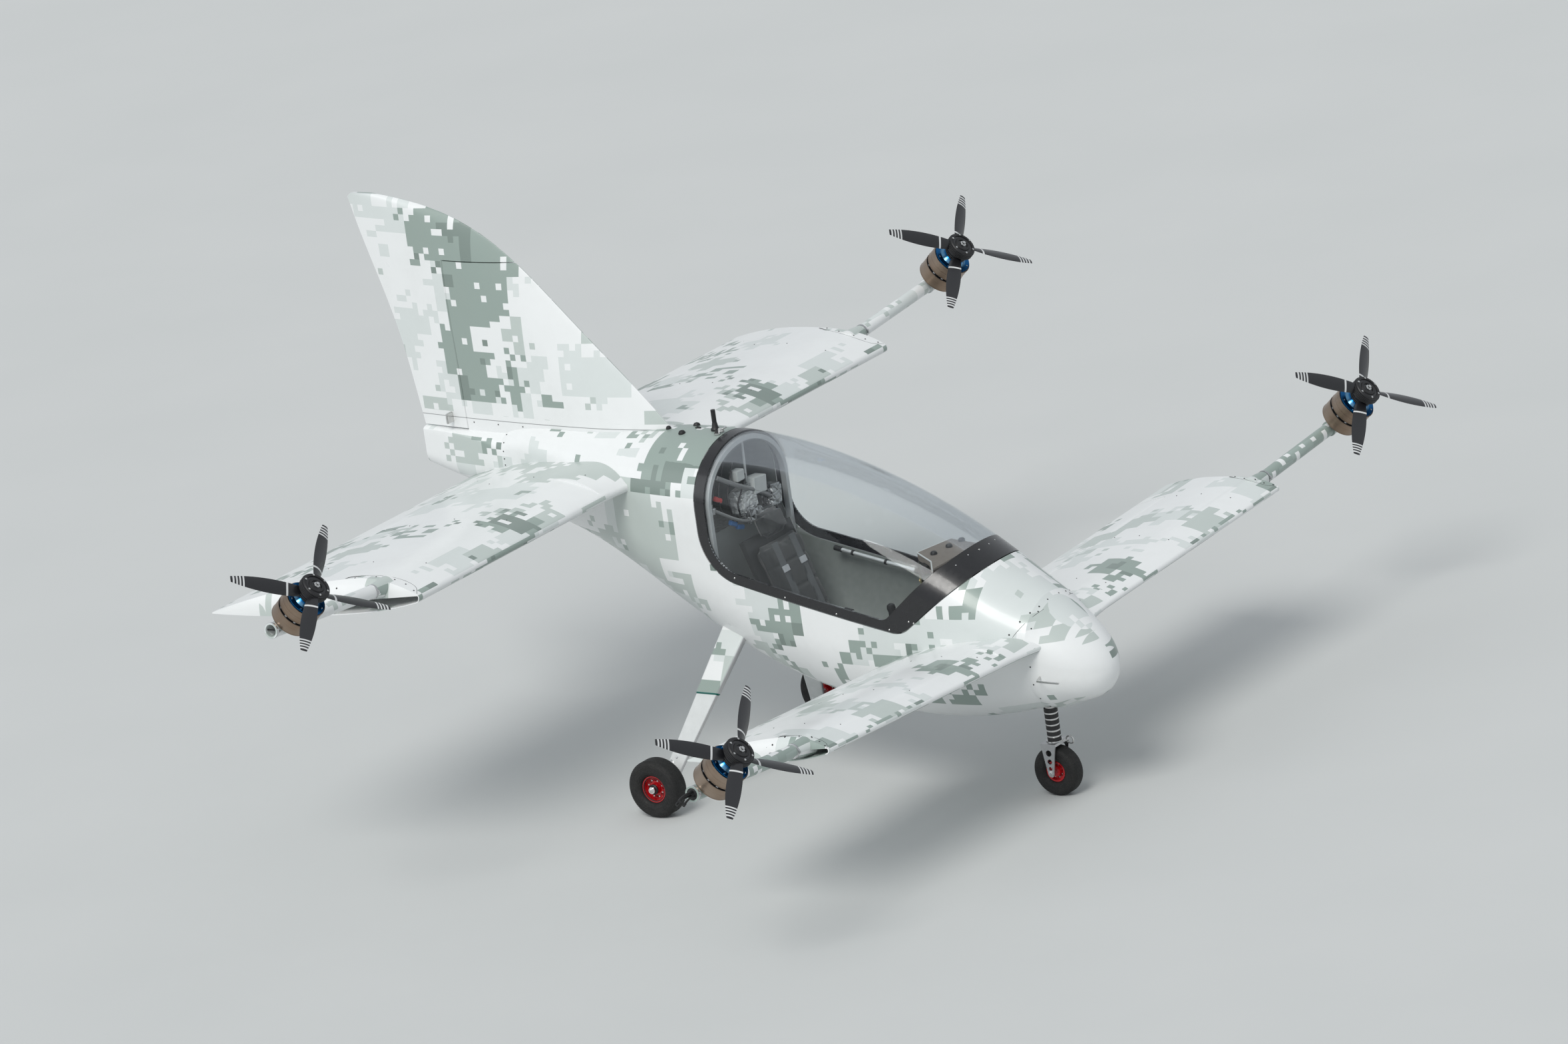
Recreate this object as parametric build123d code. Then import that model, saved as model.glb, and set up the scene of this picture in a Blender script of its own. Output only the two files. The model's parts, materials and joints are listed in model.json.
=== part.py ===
from build123d import *
import os
from math import cos, hypot, radians, sin, sqrt, tan

# Single-seat electric vertical takeoff aircraft, parked on its tricycle gear.
# X to port, Y aft, Z up, millimetres; stations are measured aft from the main axle.

# Body sections: station, half width, top and bottom heights, and the heights of the half
# ellipses at crown and keel. Each length of the body starts on the last one's end section.
NOSE = [
    # station, half width, top, bottom, crown, keel
    (-2154, 16, 656, 624, 15, 15),
    (-2146, 48, 690, 590, 46, 46),
    (-2118, 100, 744, 538, 94, 94),
    (-2060, 158, 810, 498, 144, 140),
    (-1960, 216, 892, 466, 195, 190),
    (-1850, 254, 982, 447, 220, 230),
]
CABIN = [
    NOSE[-1],
    (-1450, 326, 1220, 372, 262, 330),
    (-1050, 352, 1418, 376, 276, 390),
    (-650, 354, 1560, 456, 280, 400),
    (-250, 338, 1640, 610, 276, 395),
    (150, 300, 1648, 840, 250, 350),
    (600, 214, 1630, 1090, 180, 250),
    (1100, 104, 1594, 1262, 90, 130),
]
TAIL = [
    CABIN[-1],
    (1350, 70, 1582, 1325, 20, 95),
    (1600, 34, 1583, 1400, 14, 60),
]
first_hollow = 2
skin = 10
glass = 5
body_side = 600

# How far cutting shapes reach past what they cut
past, far = 200, 3000

# Canopy: side outline by its aft edge, its sill and its front edge, with rounded lower corners
canopy_aft, canopy_aft_low = -160, 1073
canopy_fore, canopy_fore_low = -1240, 846
canopy_crown, canopy_crown_height = -1640, 1155
canopy_top = 1760
aft_corner, fore_corner = 240, 110
frame_rail = 45
frame_aft = 55
frame_fore = 100
canopy_gap = 5
hinge_station = -1680
hinge_height = 1015
hinge_spacing = 130
hinge_arm = 14
hinge_pin = 12
arm_inner, arm_outer = 140, 162
arm_drop, arm_rise = 26, 60
arm_width, arm_boss = 20, 13
bow_reach, bow_lap, bow_middle = 400, 5, 15
ear_thickness, ear_room = 6, 3
ear_fore, ear_back, ear_drop = 26, 22, 26
panel_gap = 6
canopy_travel = 50

# Wings: leading edge, chord, thickness and rake of each pair
rear_le, rear_height, rear_chord, rear_incidence, rear_dihedral = 265, 1440, 1045, 3.9, 0.0
front_le, front_height, front_chord, front_incidence, front_dihedral = -1895, 775, 713, 5.7, 2.9
rear_tip, rear_tip_rake = 1890, 210
front_tip, front_tip_rake = 1875, 100
upper_thickness = 0.095
lower_thickness = 0.05
section_crest = 0.32
nose_radius = 0.022
edge_thickness = 6
wing_wall = 6
spar_gap = 16
rib_station, rib_thickness = 1676, 24
tip_wall = 4
tip_droop, tip_low, tip_high = 0.09, 0.012, 1.12
tip_slot, tip_slot_end = 10, 0.42
root_reach, root_lead, root_swell, root_share = 150, 0.11, 1.25, 0.7
root_fit, root_nose = 0.98, 1.3
ROOT_FALL = [(1, 0), (0.5, 1), (0.12, 2), (0, 3)]  # share of the swell, steps of root_reach
rear_hinge = 0.79
front_hinge = 0.76
rear_elevon_in, rear_elevon_out = 330, 1855
front_elevon_in, front_elevon_out = 520, 1700
elevon_gap = 5
elevon_travel = 20
hinge_bolt = 12
bolt_reach, bolt_root = 25, 5
pin_fit = 0.3

# Fin and rudder
FIN = [
    # height, leading edge, trailing edge, thickness
    (1500, 20, 1592, 128),
    (1664, 178, 1616, 120),
    (2050, 560, 1684, 100),
    (2437, 963, 1798, 74),
    (2600, 1225, 1845, 56),
    (2685, 1500, 1868, 40),
    (2714, 1690, 1889, 24),
]
fin_corner = 40
tip_lean = (FIN[-1][2] - FIN[-4][2]) / (FIN[-1][0] - FIN[-4][0])
corner_height = FIN[-1][0] - fin_corner
corner_station = FIN[-1][2] - fin_corner * (tip_lean + hypot(1, tip_lean))
corner_foot = corner_height - fin_corner * tip_lean / hypot(1, tip_lean)
fin_nose, fin_edge = 0.55, 5
rudder_axis = 1366
rudder_drum = 42
rudder_post, rudder_post_foot = 8, 1560
rudder_foot = 1588
horn_height = 2416
rudder_gap = 5
rudder_travel = 25

# Motor pods at the wing tips
pod_span = 2600
boom_radius = 31
boom_wall = 3
boom_overhang = 116
boom_end = pod_span + boom_overhang
boom_root = rib_station
boom_rise = 5
sleeve_radius, sleeve_in, sleeve_out, sleeve_lip = 50, 40, 75, 2
clamp_wall, clamp_reach = 5, 60
rear_boom_station, rear_boom_height, rear_pod_tilt = 462, 1540, 46
front_boom_station, front_boom_height, front_pod_tilt = -1760, 942, 48
saddle = 12
motor_radius = 96
motor_length = 66
motor_break, motor_step = 8, 8
flange_radius = 92
flange_thickness = 8
collar_radius = 50
collar_height, collar_flare = 18, 14
shaft_radius, shaft_short = 12, 6
low_hub_radius, low_hub_height = 52, 34
top_hub_radius, top_hub_height = 68, 36
hub_gap = 3
prop_radius = 410
blade_root_chord, blade_mid_chord, blade_tip_chord = 44, 68, 30
blade_root_pitch, blade_mid_pitch, blade_tip_pitch = 34, 20, 11
blade_root_thick, blade_mid_thick, blade_tip_thick = 8, 6, 3
blade_sunk, blade_mid_share, blade_belly = 12, 0.4, 0.35
prop_rest = 35

# Main gear
track_half = 700
tyre_radius, tyre_width, tyre_bore = 138, 104, 64
tyre_round = 0.38
main_axle_radius, main_axle_root, main_axle_end = 14, 4, 6
main_collar_radius, main_collar_back, main_collar_length = 32, 8, 26
leg_top = (-222, 238, 758)
leg_foot_x = 606
leg_chord_top, leg_chord_foot = 150, 84
leg_thick_top, leg_thick_foot, leg_round = 34, 22, 0.45
leg_top_share, leg_foot_share = -0.12, 1.04
cuff_share, cuff_wall = 0.42, 4
rim_share, rim_web, rim_lip, rim_drop = 0.62, 10, 7, 12
rim_hub, rim_hub_flare = 24, 28
rim_hole_count, rim_hole_share, rim_hole_place = 8, 0.11, 0.62

# Nose gear
nose_wheel_station = -1769
nose_tyre_radius, nose_tyre_width, nose_tyre_bore = 117, 84, 50
nose_axle_radius, nose_axle_end = 8, 8
fork_half = 54
fork_plate, fork_crown = 8, 12
fork_top_half, fork_foot = 40, 17
fork_holes = [(44, 15), (85, 12), (118, 9)]  # depth under the plate's top, radius
crown_gap = 14
strut_disc_radius, strut_core_radius = 32, 26
strut_disc_count = 6
strut_pitch, strut_disc = 28, 18
strut_top = 470
pivot_gap = 0.3
steer_travel = 30

# Roll hoop under the canopy's aft frame
hoop_station, hoop_width, hoop_thick = -232, 28, 22
hoop_foot, hoop_gap = 760, 8
pack_gap = 0.3

# Cabin fittings, cut to the room inside the skin
room_gap = 0.5
cabin_side = 400
floor_height, floor_thickness = 500, 8
floor_top = floor_height + floor_thickness
BLOCKS = {
    # node: half width, fore end, aft end, foot, top
    "cabin_floor": (cabin_side, -1480, -170, floor_height, floor_top),
    "bulkhead": (cabin_side, -168, -160, 480, 1700),
    "battery_floor": (230, -1010, -470, 0, floor_height - pack_gap),
    "battery_nose": (180, -1735, -1545, 0, 760),
    "equipment_bay": (210, -150, 160, 960, 1150),
}
seat_half, seat_wall, seat_cap, seat_bend = 190, 24, 8, 15
pan_fore, pan_fore_height = -890, 640
pan_aft, pan_aft_height = -520, 585
back_station, back_height = -300, 1180
PANEL_SIDE = [(-1420, 930), (-1290, 1000), (-1270, 1000), (-1370, 780), (-1390, 780)]  # station, height
stick_station, stick_radius, stick_length, stick_lean = -1000, 12, 320, 0.12
stick_foot_radius, stick_foot_height, stick_foot_lap = 26, 24, 12

# Aerial on the deck behind the canopy
mast_station, mast_foot, mast_radius, mast_length = -90, 1640, 11, 110

# The parked part is shifted so that its plan is centred
nose_tip = NOSE[0][0]
plan_shift = -(nose_tip + corner_station + fin_corner) / 2


def station_plane(y):
    return Plane(origin=(0, y, 0), x_dir=(1, 0, 0), z_dir=(0, -1, 0))


def oval(y, half, top, bottom, crown, keel, inset=0):
    """Body section: half ellipses at crown and keel, joined by straight sides."""
    w, a, b = half - inset, crown - inset, keel - inset
    high, low = top - inset - a, bottom + inset + b
    edges = [
        EllipticalCenterArc((0, high), w, a, start_angle=0, arc_size=180),
        Line((-w, high), (-w, low)),
        EllipticalCenterArc((0, low), w, b, start_angle=180, arc_size=180),
        Line((w, low), (w, high)),
    ]
    return station_plane(y) * make_face(edges)


def form(rows, inset=0):
    """A length of the body, or the same form set in by a wall."""
    return loft([oval(*row, inset=inset) for row in rows])


def block(x0, x1, y0, y1, z0, z1):
    return Pos((x0 + x1) / 2, (y0 + y1) / 2, (z0 + z1) / 2) * Box(x1 - x0, y1 - y0, z1 - z0)


def rod(start, axis, radius, length, bore=0):
    plane = Plane(origin=start, z_dir=axis)
    shape = extrude(plane * Circle(radius), amount=length)
    if bore:
        shape -= extrude(plane * Circle(bore), amount=length)
    return shape


def section(chord, up, low, nose, edge):
    """Wing section of tangent arcs: nose at 0, trailing edge at the chord, along local x."""
    r, peak = nose * chord, section_crest * chord

    def lean(height):
        lo, hi = 0.0, radians(80)
        for _ in range(60):
            mid = (lo + hi) / 2
            if tan(mid / 2) * (peak - r + r * sin(mid)) < height - r * cos(mid):
                lo = mid
            else:
                hi = mid
        return lo

    t, u = lean(up), lean(low)
    top = (r - r * sin(t), r * cos(t))
    bot = (r - r * sin(u), -r * cos(u))
    edges = [
        ThreePointArc(top, (0, 0), bot),
        TangentArc(top, (peak, up), tangent=(cos(t), sin(t))),
        TangentArc((peak, up), (chord, edge / 2), tangent=(1, 0)),
        Line((chord, edge / 2), (chord, -edge / 2)),
        TangentArc((peak, -low), (chord, -edge / 2), tangent=(1, 0)),
        TangentArc(bot, (peak, -low), tangent=(cos(u), -sin(u))),
    ]
    return make_face(edges)


class Panel:
    """One port wing panel: its frame, its blank and the line of its hinge."""

    def __init__(self, le, height, chord, incidence, dihedral, tip, rake, hinge, span):
        self.chord, self.tip, self.rake = chord, tip, rake
        self.place = Pos(0, le, height) * Rot(0, -dihedral, 0) * Rot(-incidence, 0, 0)
        face = Plane.YZ * section(chord, upper_thickness * chord, lower_thickness * chord,
                                  nose_radius, edge_thickness)
        self.blank = extrude(face, amount=tip + rake) + self.root()
        self.hinge = hinge * chord
        self.inner, self.outer = span
        rise = self.half(self.hinge)
        self.mid = (rise[0] - rise[1]) / 2
        self.drum = (rise[0] + rise[1]) / 2

    def half(self, a):
        """Heights of the upper and lower skins above and below the chord line at a."""
        peak = section_crest * self.chord
        out = []
        for h in (upper_thickness * self.chord, lower_thickness * self.chord):
            drop, run = h - edge_thickness / 2, self.chord - peak
            radius = (run ** 2 + drop ** 2) / (2 * drop)
            out.append(h - (radius - sqrt(radius ** 2 - (a - peak) ** 2)))
        return out

    def tail(self, grow):
        """Everything aft of the hinge line, with the round nose of the surface."""
        x0, x1 = self.inner - grow, self.outer + grow
        aft = block(x0, x1, self.hinge, self.chord + past, -past, past)
        return aft + rod((x0, self.hinge, self.mid), (1, 0, 0), self.drum + grow, x1 - x0)

    def bolts(self, radius, reach):
        """Hinge bolts that stand in from the fixed ribs at each end."""
        start = self.inner - elevon_gap - bolt_root
        end = self.outer + elevon_gap + bolt_root
        a = rod((start, self.hinge, self.mid), (1, 0, 0), radius, reach + bolt_root)
        return a + rod((end, self.hinge, self.mid), (-1, 0, 0), radius, reach + bolt_root)

    def surface(self):
        made = self.blank & self.tail(0)
        return made - self.bolts(hinge_bolt / 2 + pin_fit, bolt_reach + pin_fit)

    def root(self):
        """Fairing that swells and leads the leading edge where the wing meets the body."""
        faces = []
        for share, step in ROOT_FALL:
            lead = root_lead * self.chord * share
            swell = root_fit + (root_swell - root_fit) * share
            face = section(root_share * self.chord + lead, upper_thickness * self.chord * swell,
                           lower_thickness * self.chord * swell, nose_radius * root_nose,
                           edge_thickness)
            faces.append(Plane.YZ.offset(step * root_reach) * Pos(-lead, 0) * face)
        return loft(faces)

    def inside(self, wall, x0, x1, y1):
        """The space inside the skins, from x0 to x1 and back to y1."""
        face = offset(section(self.chord, upper_thickness * self.chord,
                              lower_thickness * self.chord, nose_radius, edge_thickness),
                      amount=-wall, kind=Kind.INTERSECTION)
        return extrude(Plane.YZ.offset(x0) * face, amount=x1 - x0) & block(x0, x1, 0, y1, -past, past)

    def rounded(self, inset):
        """Everything inboard of the raked tip, whose upper edge droops along an ellipse."""
        across = tip_droop * self.chord
        low, high = -tip_low * self.chord, upper_thickness * self.chord * tip_high
        edges = [
            Polyline((across, high - inset), (across, high + 1), (far, high + 1), (far, -past),
                     (inset, -past), (inset, low)),
            EllipticalCenterArc((across, low), across - inset, high - low - inset,
                                start_angle=90, arc_size=90),
        ]
        plane = Plane(origin=(self.tip, 0, 0), x_dir=(-self.chord, self.rake, 0),
                      z_dir=(self.rake, self.chord, 0))
        return extrude(plane.offset(-far) * make_face(edges), amount=2 * far)

    def wing(self):
        spar = self.hinge - self.drum - elevon_gap - spar_gap
        outer = self.tip + self.rake
        cave = self.inside(tip_wall, rib_station + rib_thickness, outer, tip_slot_end * self.chord)
        cave &= self.rounded(tip_wall) + block(0, outer, 0, self.chord, -past, tip_slot)
        made = (self.blank & self.rounded(0)) - self.tail(elevon_gap)
        made -= self.inside(wing_wall, -1, rib_station, spar) + cave
        return made + self.bolts(hinge_bolt / 2, bolt_reach)


# Body forms: the nose and the tail close over their own walls, the cabin runs through
nose_form, cabin_form, tail_form = form(NOSE), form(CABIN), form(TAIL)
inner = form(CABIN, skin)
tail_end = (TAIL[-1][0] - skin,) + TAIL[-1][1:]
nose_cone = nose_form - form(NOSE[first_hollow:], skin)
tail_cone = tail_form - form(TAIL[:-1] + [tail_end], skin)
shell = cabin_form - inner


def outline(grow, fore=0, rail=0, aft=0):
    """Side outline of the canopy, set in by the frame's widths, as a solid across the body."""
    sill = (canopy_aft_low - canopy_fore_low) / (canopy_aft - canopy_fore)
    front = (canopy_crown_height - canopy_fore_low) / (canopy_fore - canopy_crown)
    sill_in = (rail - grow) * hypot(1, sill)
    front_in = (fore - grow) * hypot(1, front)
    back = canopy_aft - aft + grow
    meet = (front_in - sill_in) / (sill + front)
    aft_low = (back, canopy_fore_low + sill * (back - canopy_fore) + sill_in)
    fore_low = (canopy_fore + meet, canopy_fore_low + sill * meet + sill_in)
    fore_high = (canopy_fore + (front_in - canopy_top + canopy_fore_low) / front, canopy_top)
    face = make_face(Polyline((back, canopy_top), aft_low, fore_low, fore_high, close=True)).face()
    for corner, radius in ((aft_low, aft_corner - aft + grow), (fore_low, fore_corner - rail + grow)):
        near = face.vertices().sort_by_distance(Vector(*corner, 0))[0]
        face = face.fillet_2d(radius, [near])
    return extrude(Plane.YZ.offset(-body_side) * face, amount=2 * body_side)


opening = outline(canopy_gap)
lid = outline(0)
pane_zone = outline(0, frame_fore, frame_rail, frame_aft)
fuselage = shell - opening
canopy_frame = (shell & lid) - pane_zone
canopy_glass = (cabin_form - form(CABIN, glass)) & pane_zone

# Canopy hinge: a bowed arm each side runs down from the pin, then up round the opening's edge
hinge = {}
for side in (-1, 1):
    x = side * hinge_spacing - hinge_arm / 2

    def turned(radius, angle, aside=0):
        a = radians(angle)
        return (hinge_station + radius * cos(a) - aside * sin(a),
                hinge_height + radius * sin(a) + aside * cos(a))

    def across(radius):
        return rod((x, hinge_station, hinge_height), (1, 0, 0), radius, hinge_arm)

    reach = Polyline((hinge_station, hinge_height), turned(bow_reach, -arm_drop - bow_lap),
                     turned(bow_reach, bow_middle), turned(bow_reach, arm_rise), close=True)
    bow = (across(arm_outer) - across(arm_inner)) & (
        Pos(x, 0, 0) * extrude(Plane.YZ * make_face(reach), amount=hinge_arm))
    middle = (arm_inner + arm_outer) / 2
    bar = Polyline(turned(0, -arm_drop, -arm_width / 2), turned(middle, -arm_drop, -arm_width / 2),
                   turned(middle, -arm_drop, arm_width / 2), turned(0, -arm_drop, arm_width / 2),
                   close=True)
    arm = bow + Pos(x, 0, 0) * extrude(Plane.YZ * make_face(bar), amount=hinge_arm)
    arm = arm + across(arm_boss) - across(hinge_pin / 2 + pin_fit)
    hinge[side] = arm & inner

# Hinge brackets: a plate each side of an arm, under the nose skin, with the pin between them
brackets = []
for side in (-1, 1):
    x = side * hinge_spacing
    for edge in (-1, 1):
        x0 = x + edge * (hinge_arm / 2 + ear_room + ear_thickness / 2)
        brackets.append(block(x0 - ear_thickness / 2, x0 + ear_thickness / 2,
                              hinge_station - ear_fore, hinge_station + ear_back,
                              hinge_height - ear_drop, canopy_top))
    width = hinge_arm + 2 * (ear_room + ear_thickness)
    brackets.append(rod((x - width / 2, hinge_station, hinge_height), (1, 0, 0),
                        hinge_pin / 2, width))
ears = brackets[0]
for piece in brackets[1:]:
    ears = ears + piece
ears = (ears & inner) - opening

# Wings and elevons
rear = Panel(rear_le, rear_height, rear_chord, rear_incidence, rear_dihedral, rear_tip,
             rear_tip_rake, rear_hinge, (rear_elevon_in, rear_elevon_out))
front = Panel(front_le, front_height, front_chord, front_incidence, front_dihedral, front_tip,
              front_tip_rake, front_hinge, (front_elevon_in, front_elevon_out))


def clear_of_body(shape):
    return shape - nose_form - cabin_form - tail_form


def outboard(shape):
    """The solid that reaches furthest out."""
    return max(shape.solids(), key=lambda s: s.bounding_box().max.X)


def boom_line(station, height, x0, x1, radius):
    """A round bar on the boom's line, which passes the pod at its given height."""
    rise = (cos(radians(boom_rise)), 0, sin(radians(boom_rise)))
    drop = (x0 - pod_span) * tan(radians(boom_rise))
    return rod((x0, station, height + drop), rise, radius, (x1 - x0) / rise[0])


def taper(station, height, x0, x1):
    """A fairing round the boom that narrows outwards."""
    rise = (cos(radians(boom_rise)), 0, sin(radians(boom_rise)))
    drop = (x0 - pod_span) * tan(radians(boom_rise))
    plane = Plane(origin=(x0, station, height + drop), z_dir=rise)
    return plane * Cone(sleeve_radius, boom_radius + sleeve_lip, x1 - x0,
                        align=(Align.CENTER, Align.CENTER, Align.MIN))


def pod(station, height, tilt):
    """Pieces of one port pod, stacked along the motor axis from the boom's centre line."""
    base = Pos(pod_span, station, height) * Rot(tilt, 0, 0)

    def disc(radius, low, high, bore=0):
        made = Pos(0, 0, low) * Cylinder(radius, high - low, align=(Align.CENTER, Align.CENTER, Align.MIN))
        if bore:
            made -= Pos(0, 0, low) * Cylinder(bore, high - low, align=(Align.CENTER, Align.CENTER, Align.MIN))
        return made

    tube = boom_line(station, height, boom_root, boom_end, boom_radius)
    tube -= boom_line(station, height, boom_root, boom_end, boom_radius - boom_wall)
    seat = boom_radius + saddle
    clamp = base * disc(boom_radius + saddle, 0, seat)
    clamp += boom_line(station, height, pod_span - clamp_reach, boom_end, boom_radius + clamp_wall)
    clamp -= boom_line(station, height, pod_span - past, pod_span + past, boom_radius)
    top = seat + 2 * motor_length + motor_break
    motor = disc(motor_radius, seat, seat + motor_length)
    motor += disc(motor_radius - motor_step, seat + motor_length, seat + motor_length + motor_break)
    motor += disc(motor_radius, seat + motor_length + motor_break, top)
    flange = disc(flange_radius, top, top + flange_thickness)
    collar = top + flange_thickness + collar_height
    flange += Pos(0, 0, top + flange_thickness) * Cone(
        collar_radius + collar_flare, collar_radius, collar_height,
        align=(Align.CENTER, Align.CENTER, Align.MIN))
    low = collar + hub_gap
    high = low + low_hub_height + hub_gap
    flange += disc(shaft_radius, collar, high + top_hub_height - shaft_short)
    return tube, clamp, base * motor, base * flange, base, low, high


def blade_section(r, chord, pitch, thick, hand):
    plane = Plane(origin=(r, 0, 0), x_dir=(0, 1, 0), z_dir=(1, 0, 0))
    edges = [
        ThreePointArc((-chord / 2, 0), (0, thick), (chord / 2, 0)),
        ThreePointArc((chord / 2, 0), (0, -thick * blade_belly), (-chord / 2, 0)),
    ]
    return plane * Rot(0, 0, hand * pitch) * make_face(edges)


def propeller(hub_radius, hub_height, hand):
    """Two-bladed propeller about its own centre, bored for the shaft."""
    rows = [
        (hub_radius - blade_sunk, blade_root_chord, blade_root_pitch, blade_root_thick),
        (prop_radius * blade_mid_share, blade_mid_chord, blade_mid_pitch, blade_mid_thick),
        (prop_radius, blade_tip_chord, blade_tip_pitch, blade_tip_thick),
    ]
    blade = loft([blade_section(r, c, p, t, hand) for r, c, p, t in rows])
    made = Cylinder(hub_radius, hub_height) + blade + Rot(0, 0, 180) * blade
    return made - Cylinder(shaft_radius + pin_fit, hub_height + past)


# Fin and rudder
def fin_face(height, le, te, thick):
    plane = Plane(origin=(0, le, height), x_dir=(0, 1, 0), z_dir=(0, 0, 1))
    chord = te - le
    return plane * section(chord, thick / 2, thick / 2, fin_nose * (thick / chord) ** 2, fin_edge)


fin_blank = loft([fin_face(*row) for row in FIN])

# The top corner is round between the top and the leaning trailing edge
corner = block(-past, past, corner_station, far, corner_foot, far)
corner -= rod((-past, corner_station, corner_height), (1, 0, 0), fin_corner, 2 * past)
fin_blank -= corner
rudder_aft = block(-past, past, rudder_axis, far, rudder_foot, horn_height)
rudder_nose = rod((0, rudder_axis, rudder_foot), (0, 0, 1), rudder_drum, horn_height - rudder_foot)
horn = block(-past, past, 0, far, horn_height, far)
rudder = fin_blank & (rudder_aft + rudder_nose + horn)
fin_zone = block(-past, past, rudder_axis, far, FIN[0][0], far)
fin_zone += rod((0, rudder_axis, FIN[0][0]), (0, 0, 1), rudder_drum + rudder_gap,
                horn_height - FIN[0][0])
fin_zone += block(-past, past, 0, far, horn_height - rudder_gap, far)
fin = clear_of_body(fin_blank - fin_zone)
fin = max(fin.solids(), key=lambda s: s.volume)
post = rod((0, rudder_axis, rudder_post_foot), (0, 0, 1), rudder_post,
           rudder_foot - rudder_post_foot + bolt_reach)
rudder -= rod((0, rudder_axis, rudder_foot), (0, 0, 1), rudder_post + pin_fit, bolt_reach + pin_fit)
tail_cone += post

# Main gear, port side
def leg_section(t, wall=0):
    """Leg section at a share of the way from its top to its foot."""
    share = (t - leg_top_share) / (leg_foot_share - leg_top_share)
    chord = leg_chord_top + (leg_chord_foot - leg_chord_top) * share + 2 * wall
    thick = leg_thick_top + (leg_thick_foot - leg_thick_top) * share + 2 * wall
    a = Vector(leg_top[1], leg_top[0], leg_top[2])
    b = Vector(leg_foot_x, 0, tyre_radius)
    run = b - a
    plane = Plane(origin=a + run * t, x_dir=(0, 1, 0), z_dir=(run.X, 0, run.Z))
    return plane * RectangleRounded(chord, thick, thick * leg_round)


leg = loft([leg_section(leg_top_share), leg_section(leg_foot_share)])
leg += loft([leg_section(leg_top_share, cuff_wall), leg_section(cuff_share, cuff_wall)])
leg = outboard(clear_of_body(leg))
axle = rod((leg_foot_x - main_axle_root, 0, tyre_radius), (1, 0, 0), main_axle_radius,
           track_half + tyre_width / 2 + main_axle_end - leg_foot_x)
collar = rod((leg_foot_x - main_collar_back, 0, tyre_radius), (1, 0, 0), main_collar_radius,
             main_collar_length)
leg = leg + collar + axle


def tyre(radius, width, bore):
    """Tyre about X at the origin: a rounded tread over a rim of its bore."""
    side = radius - bore
    r = min(width, side) * tyre_round
    face = Plane.XY * Pos(0, (radius + bore) / 2) * RectangleRounded(width, side, r)
    return revolve(face, axis=Axis.X)


def rim(width, bore, axle_radius):
    """Rim about X: a barrel, a web with round holes and a flared hub."""
    wide = width * rim_share
    half = [(wide / 2, axle_radius), (wide / 2, rim_hub), (rim_web, rim_hub_flare),
            (rim_web, bore - rim_drop), (wide / 2, bore - rim_lip), (wide / 2, bore)]
    mirrored = [(-x, y) for x, y in reversed(half)]
    made = revolve(Plane.XY * make_face(Polyline(*mirrored, *half, close=True)), axis=Axis.X)
    for i in range(rim_hole_count):
        turn = Rot(360 / rim_hole_count * i, 0, 0)
        made -= turn * rod((-wide, 0, rim_hole_place * bore), (1, 0, 0), rim_hole_share * bore, 2 * wide)
    return made


wheel_at = Pos(track_half, 0, tyre_radius)
main_tyre = wheel_at * (tyre(tyre_radius, tyre_width, tyre_bore))
main_rim = wheel_at * rim(tyre_width, tyre_bore, main_axle_radius + pin_fit)

# Nose gear
nose_at = Pos(0, nose_wheel_station, nose_tyre_radius)
nose_tyre = nose_at * tyre(nose_tyre_radius, nose_tyre_width, nose_tyre_bore)
nose_rim = nose_at * rim(nose_tyre_width, nose_tyre_bore, nose_axle_radius + pin_fit)
crown = nose_tyre_radius * 2 + crown_gap
crown_top = crown + fork_crown
fork = block(-fork_half - fork_plate, fork_half + fork_plate, nose_wheel_station - fork_top_half,
             nose_wheel_station + fork_top_half, crown, crown_top)
for side in (-1, 1):
    shape = Polyline((nose_wheel_station - fork_top_half, crown_top),
                     (nose_wheel_station + fork_top_half, crown_top),
                     (nose_wheel_station + fork_foot, nose_tyre_radius),
                     (nose_wheel_station - fork_foot, nose_tyre_radius), close=True)
    x0 = fork_half if side > 0 else -fork_half - fork_plate
    cheek = Pos(x0, 0, 0) * extrude(Plane.YZ * make_face(shape), amount=fork_plate)
    cheek += rod((x0, nose_wheel_station, nose_tyre_radius), (1, 0, 0), fork_foot, fork_plate)
    for drop, hole in fork_holes:
        cheek -= rod((x0 - fork_plate, nose_wheel_station, crown_top - drop), (1, 0, 0), hole, 3 * fork_plate)
    fork = fork + cheek
axle_half = fork_half + fork_plate + nose_axle_end
fork += rod((-axle_half, nose_wheel_station, nose_tyre_radius), (1, 0, 0), nose_axle_radius,
            2 * axle_half)


def upright(radius, low, high):
    return rod((0, nose_wheel_station, low), (0, 0, 1), radius, high - low)


strut_base = crown_top + pivot_gap
strut = upright(strut_core_radius, strut_base, strut_top)
for i in range(strut_disc_count):
    stack = strut_base + i * strut_pitch
    strut += upright(strut_disc_radius, stack, stack + strut_disc)
fuselage -= upright(strut_core_radius, strut_base, strut_top)

# Cabin: floor, bulkhead, seat, panel, stick, roll hoop, battery and equipment
room = form(CABIN, skin + room_gap)
blocks = {}
for node, (half, fore, aft, foot, top) in BLOCKS.items():
    blocks[node] = block(-half, half, fore, aft, foot, top) & room
blocks["bulkhead"] -= opening


def across_cabin(points, half):
    """A side outline drawn out across the cabin and cut to the room in it."""
    face = Plane.YZ.offset(-half) * make_face(Polyline(*points, close=True))
    return extrude(face, amount=2 * half) & room


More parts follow.
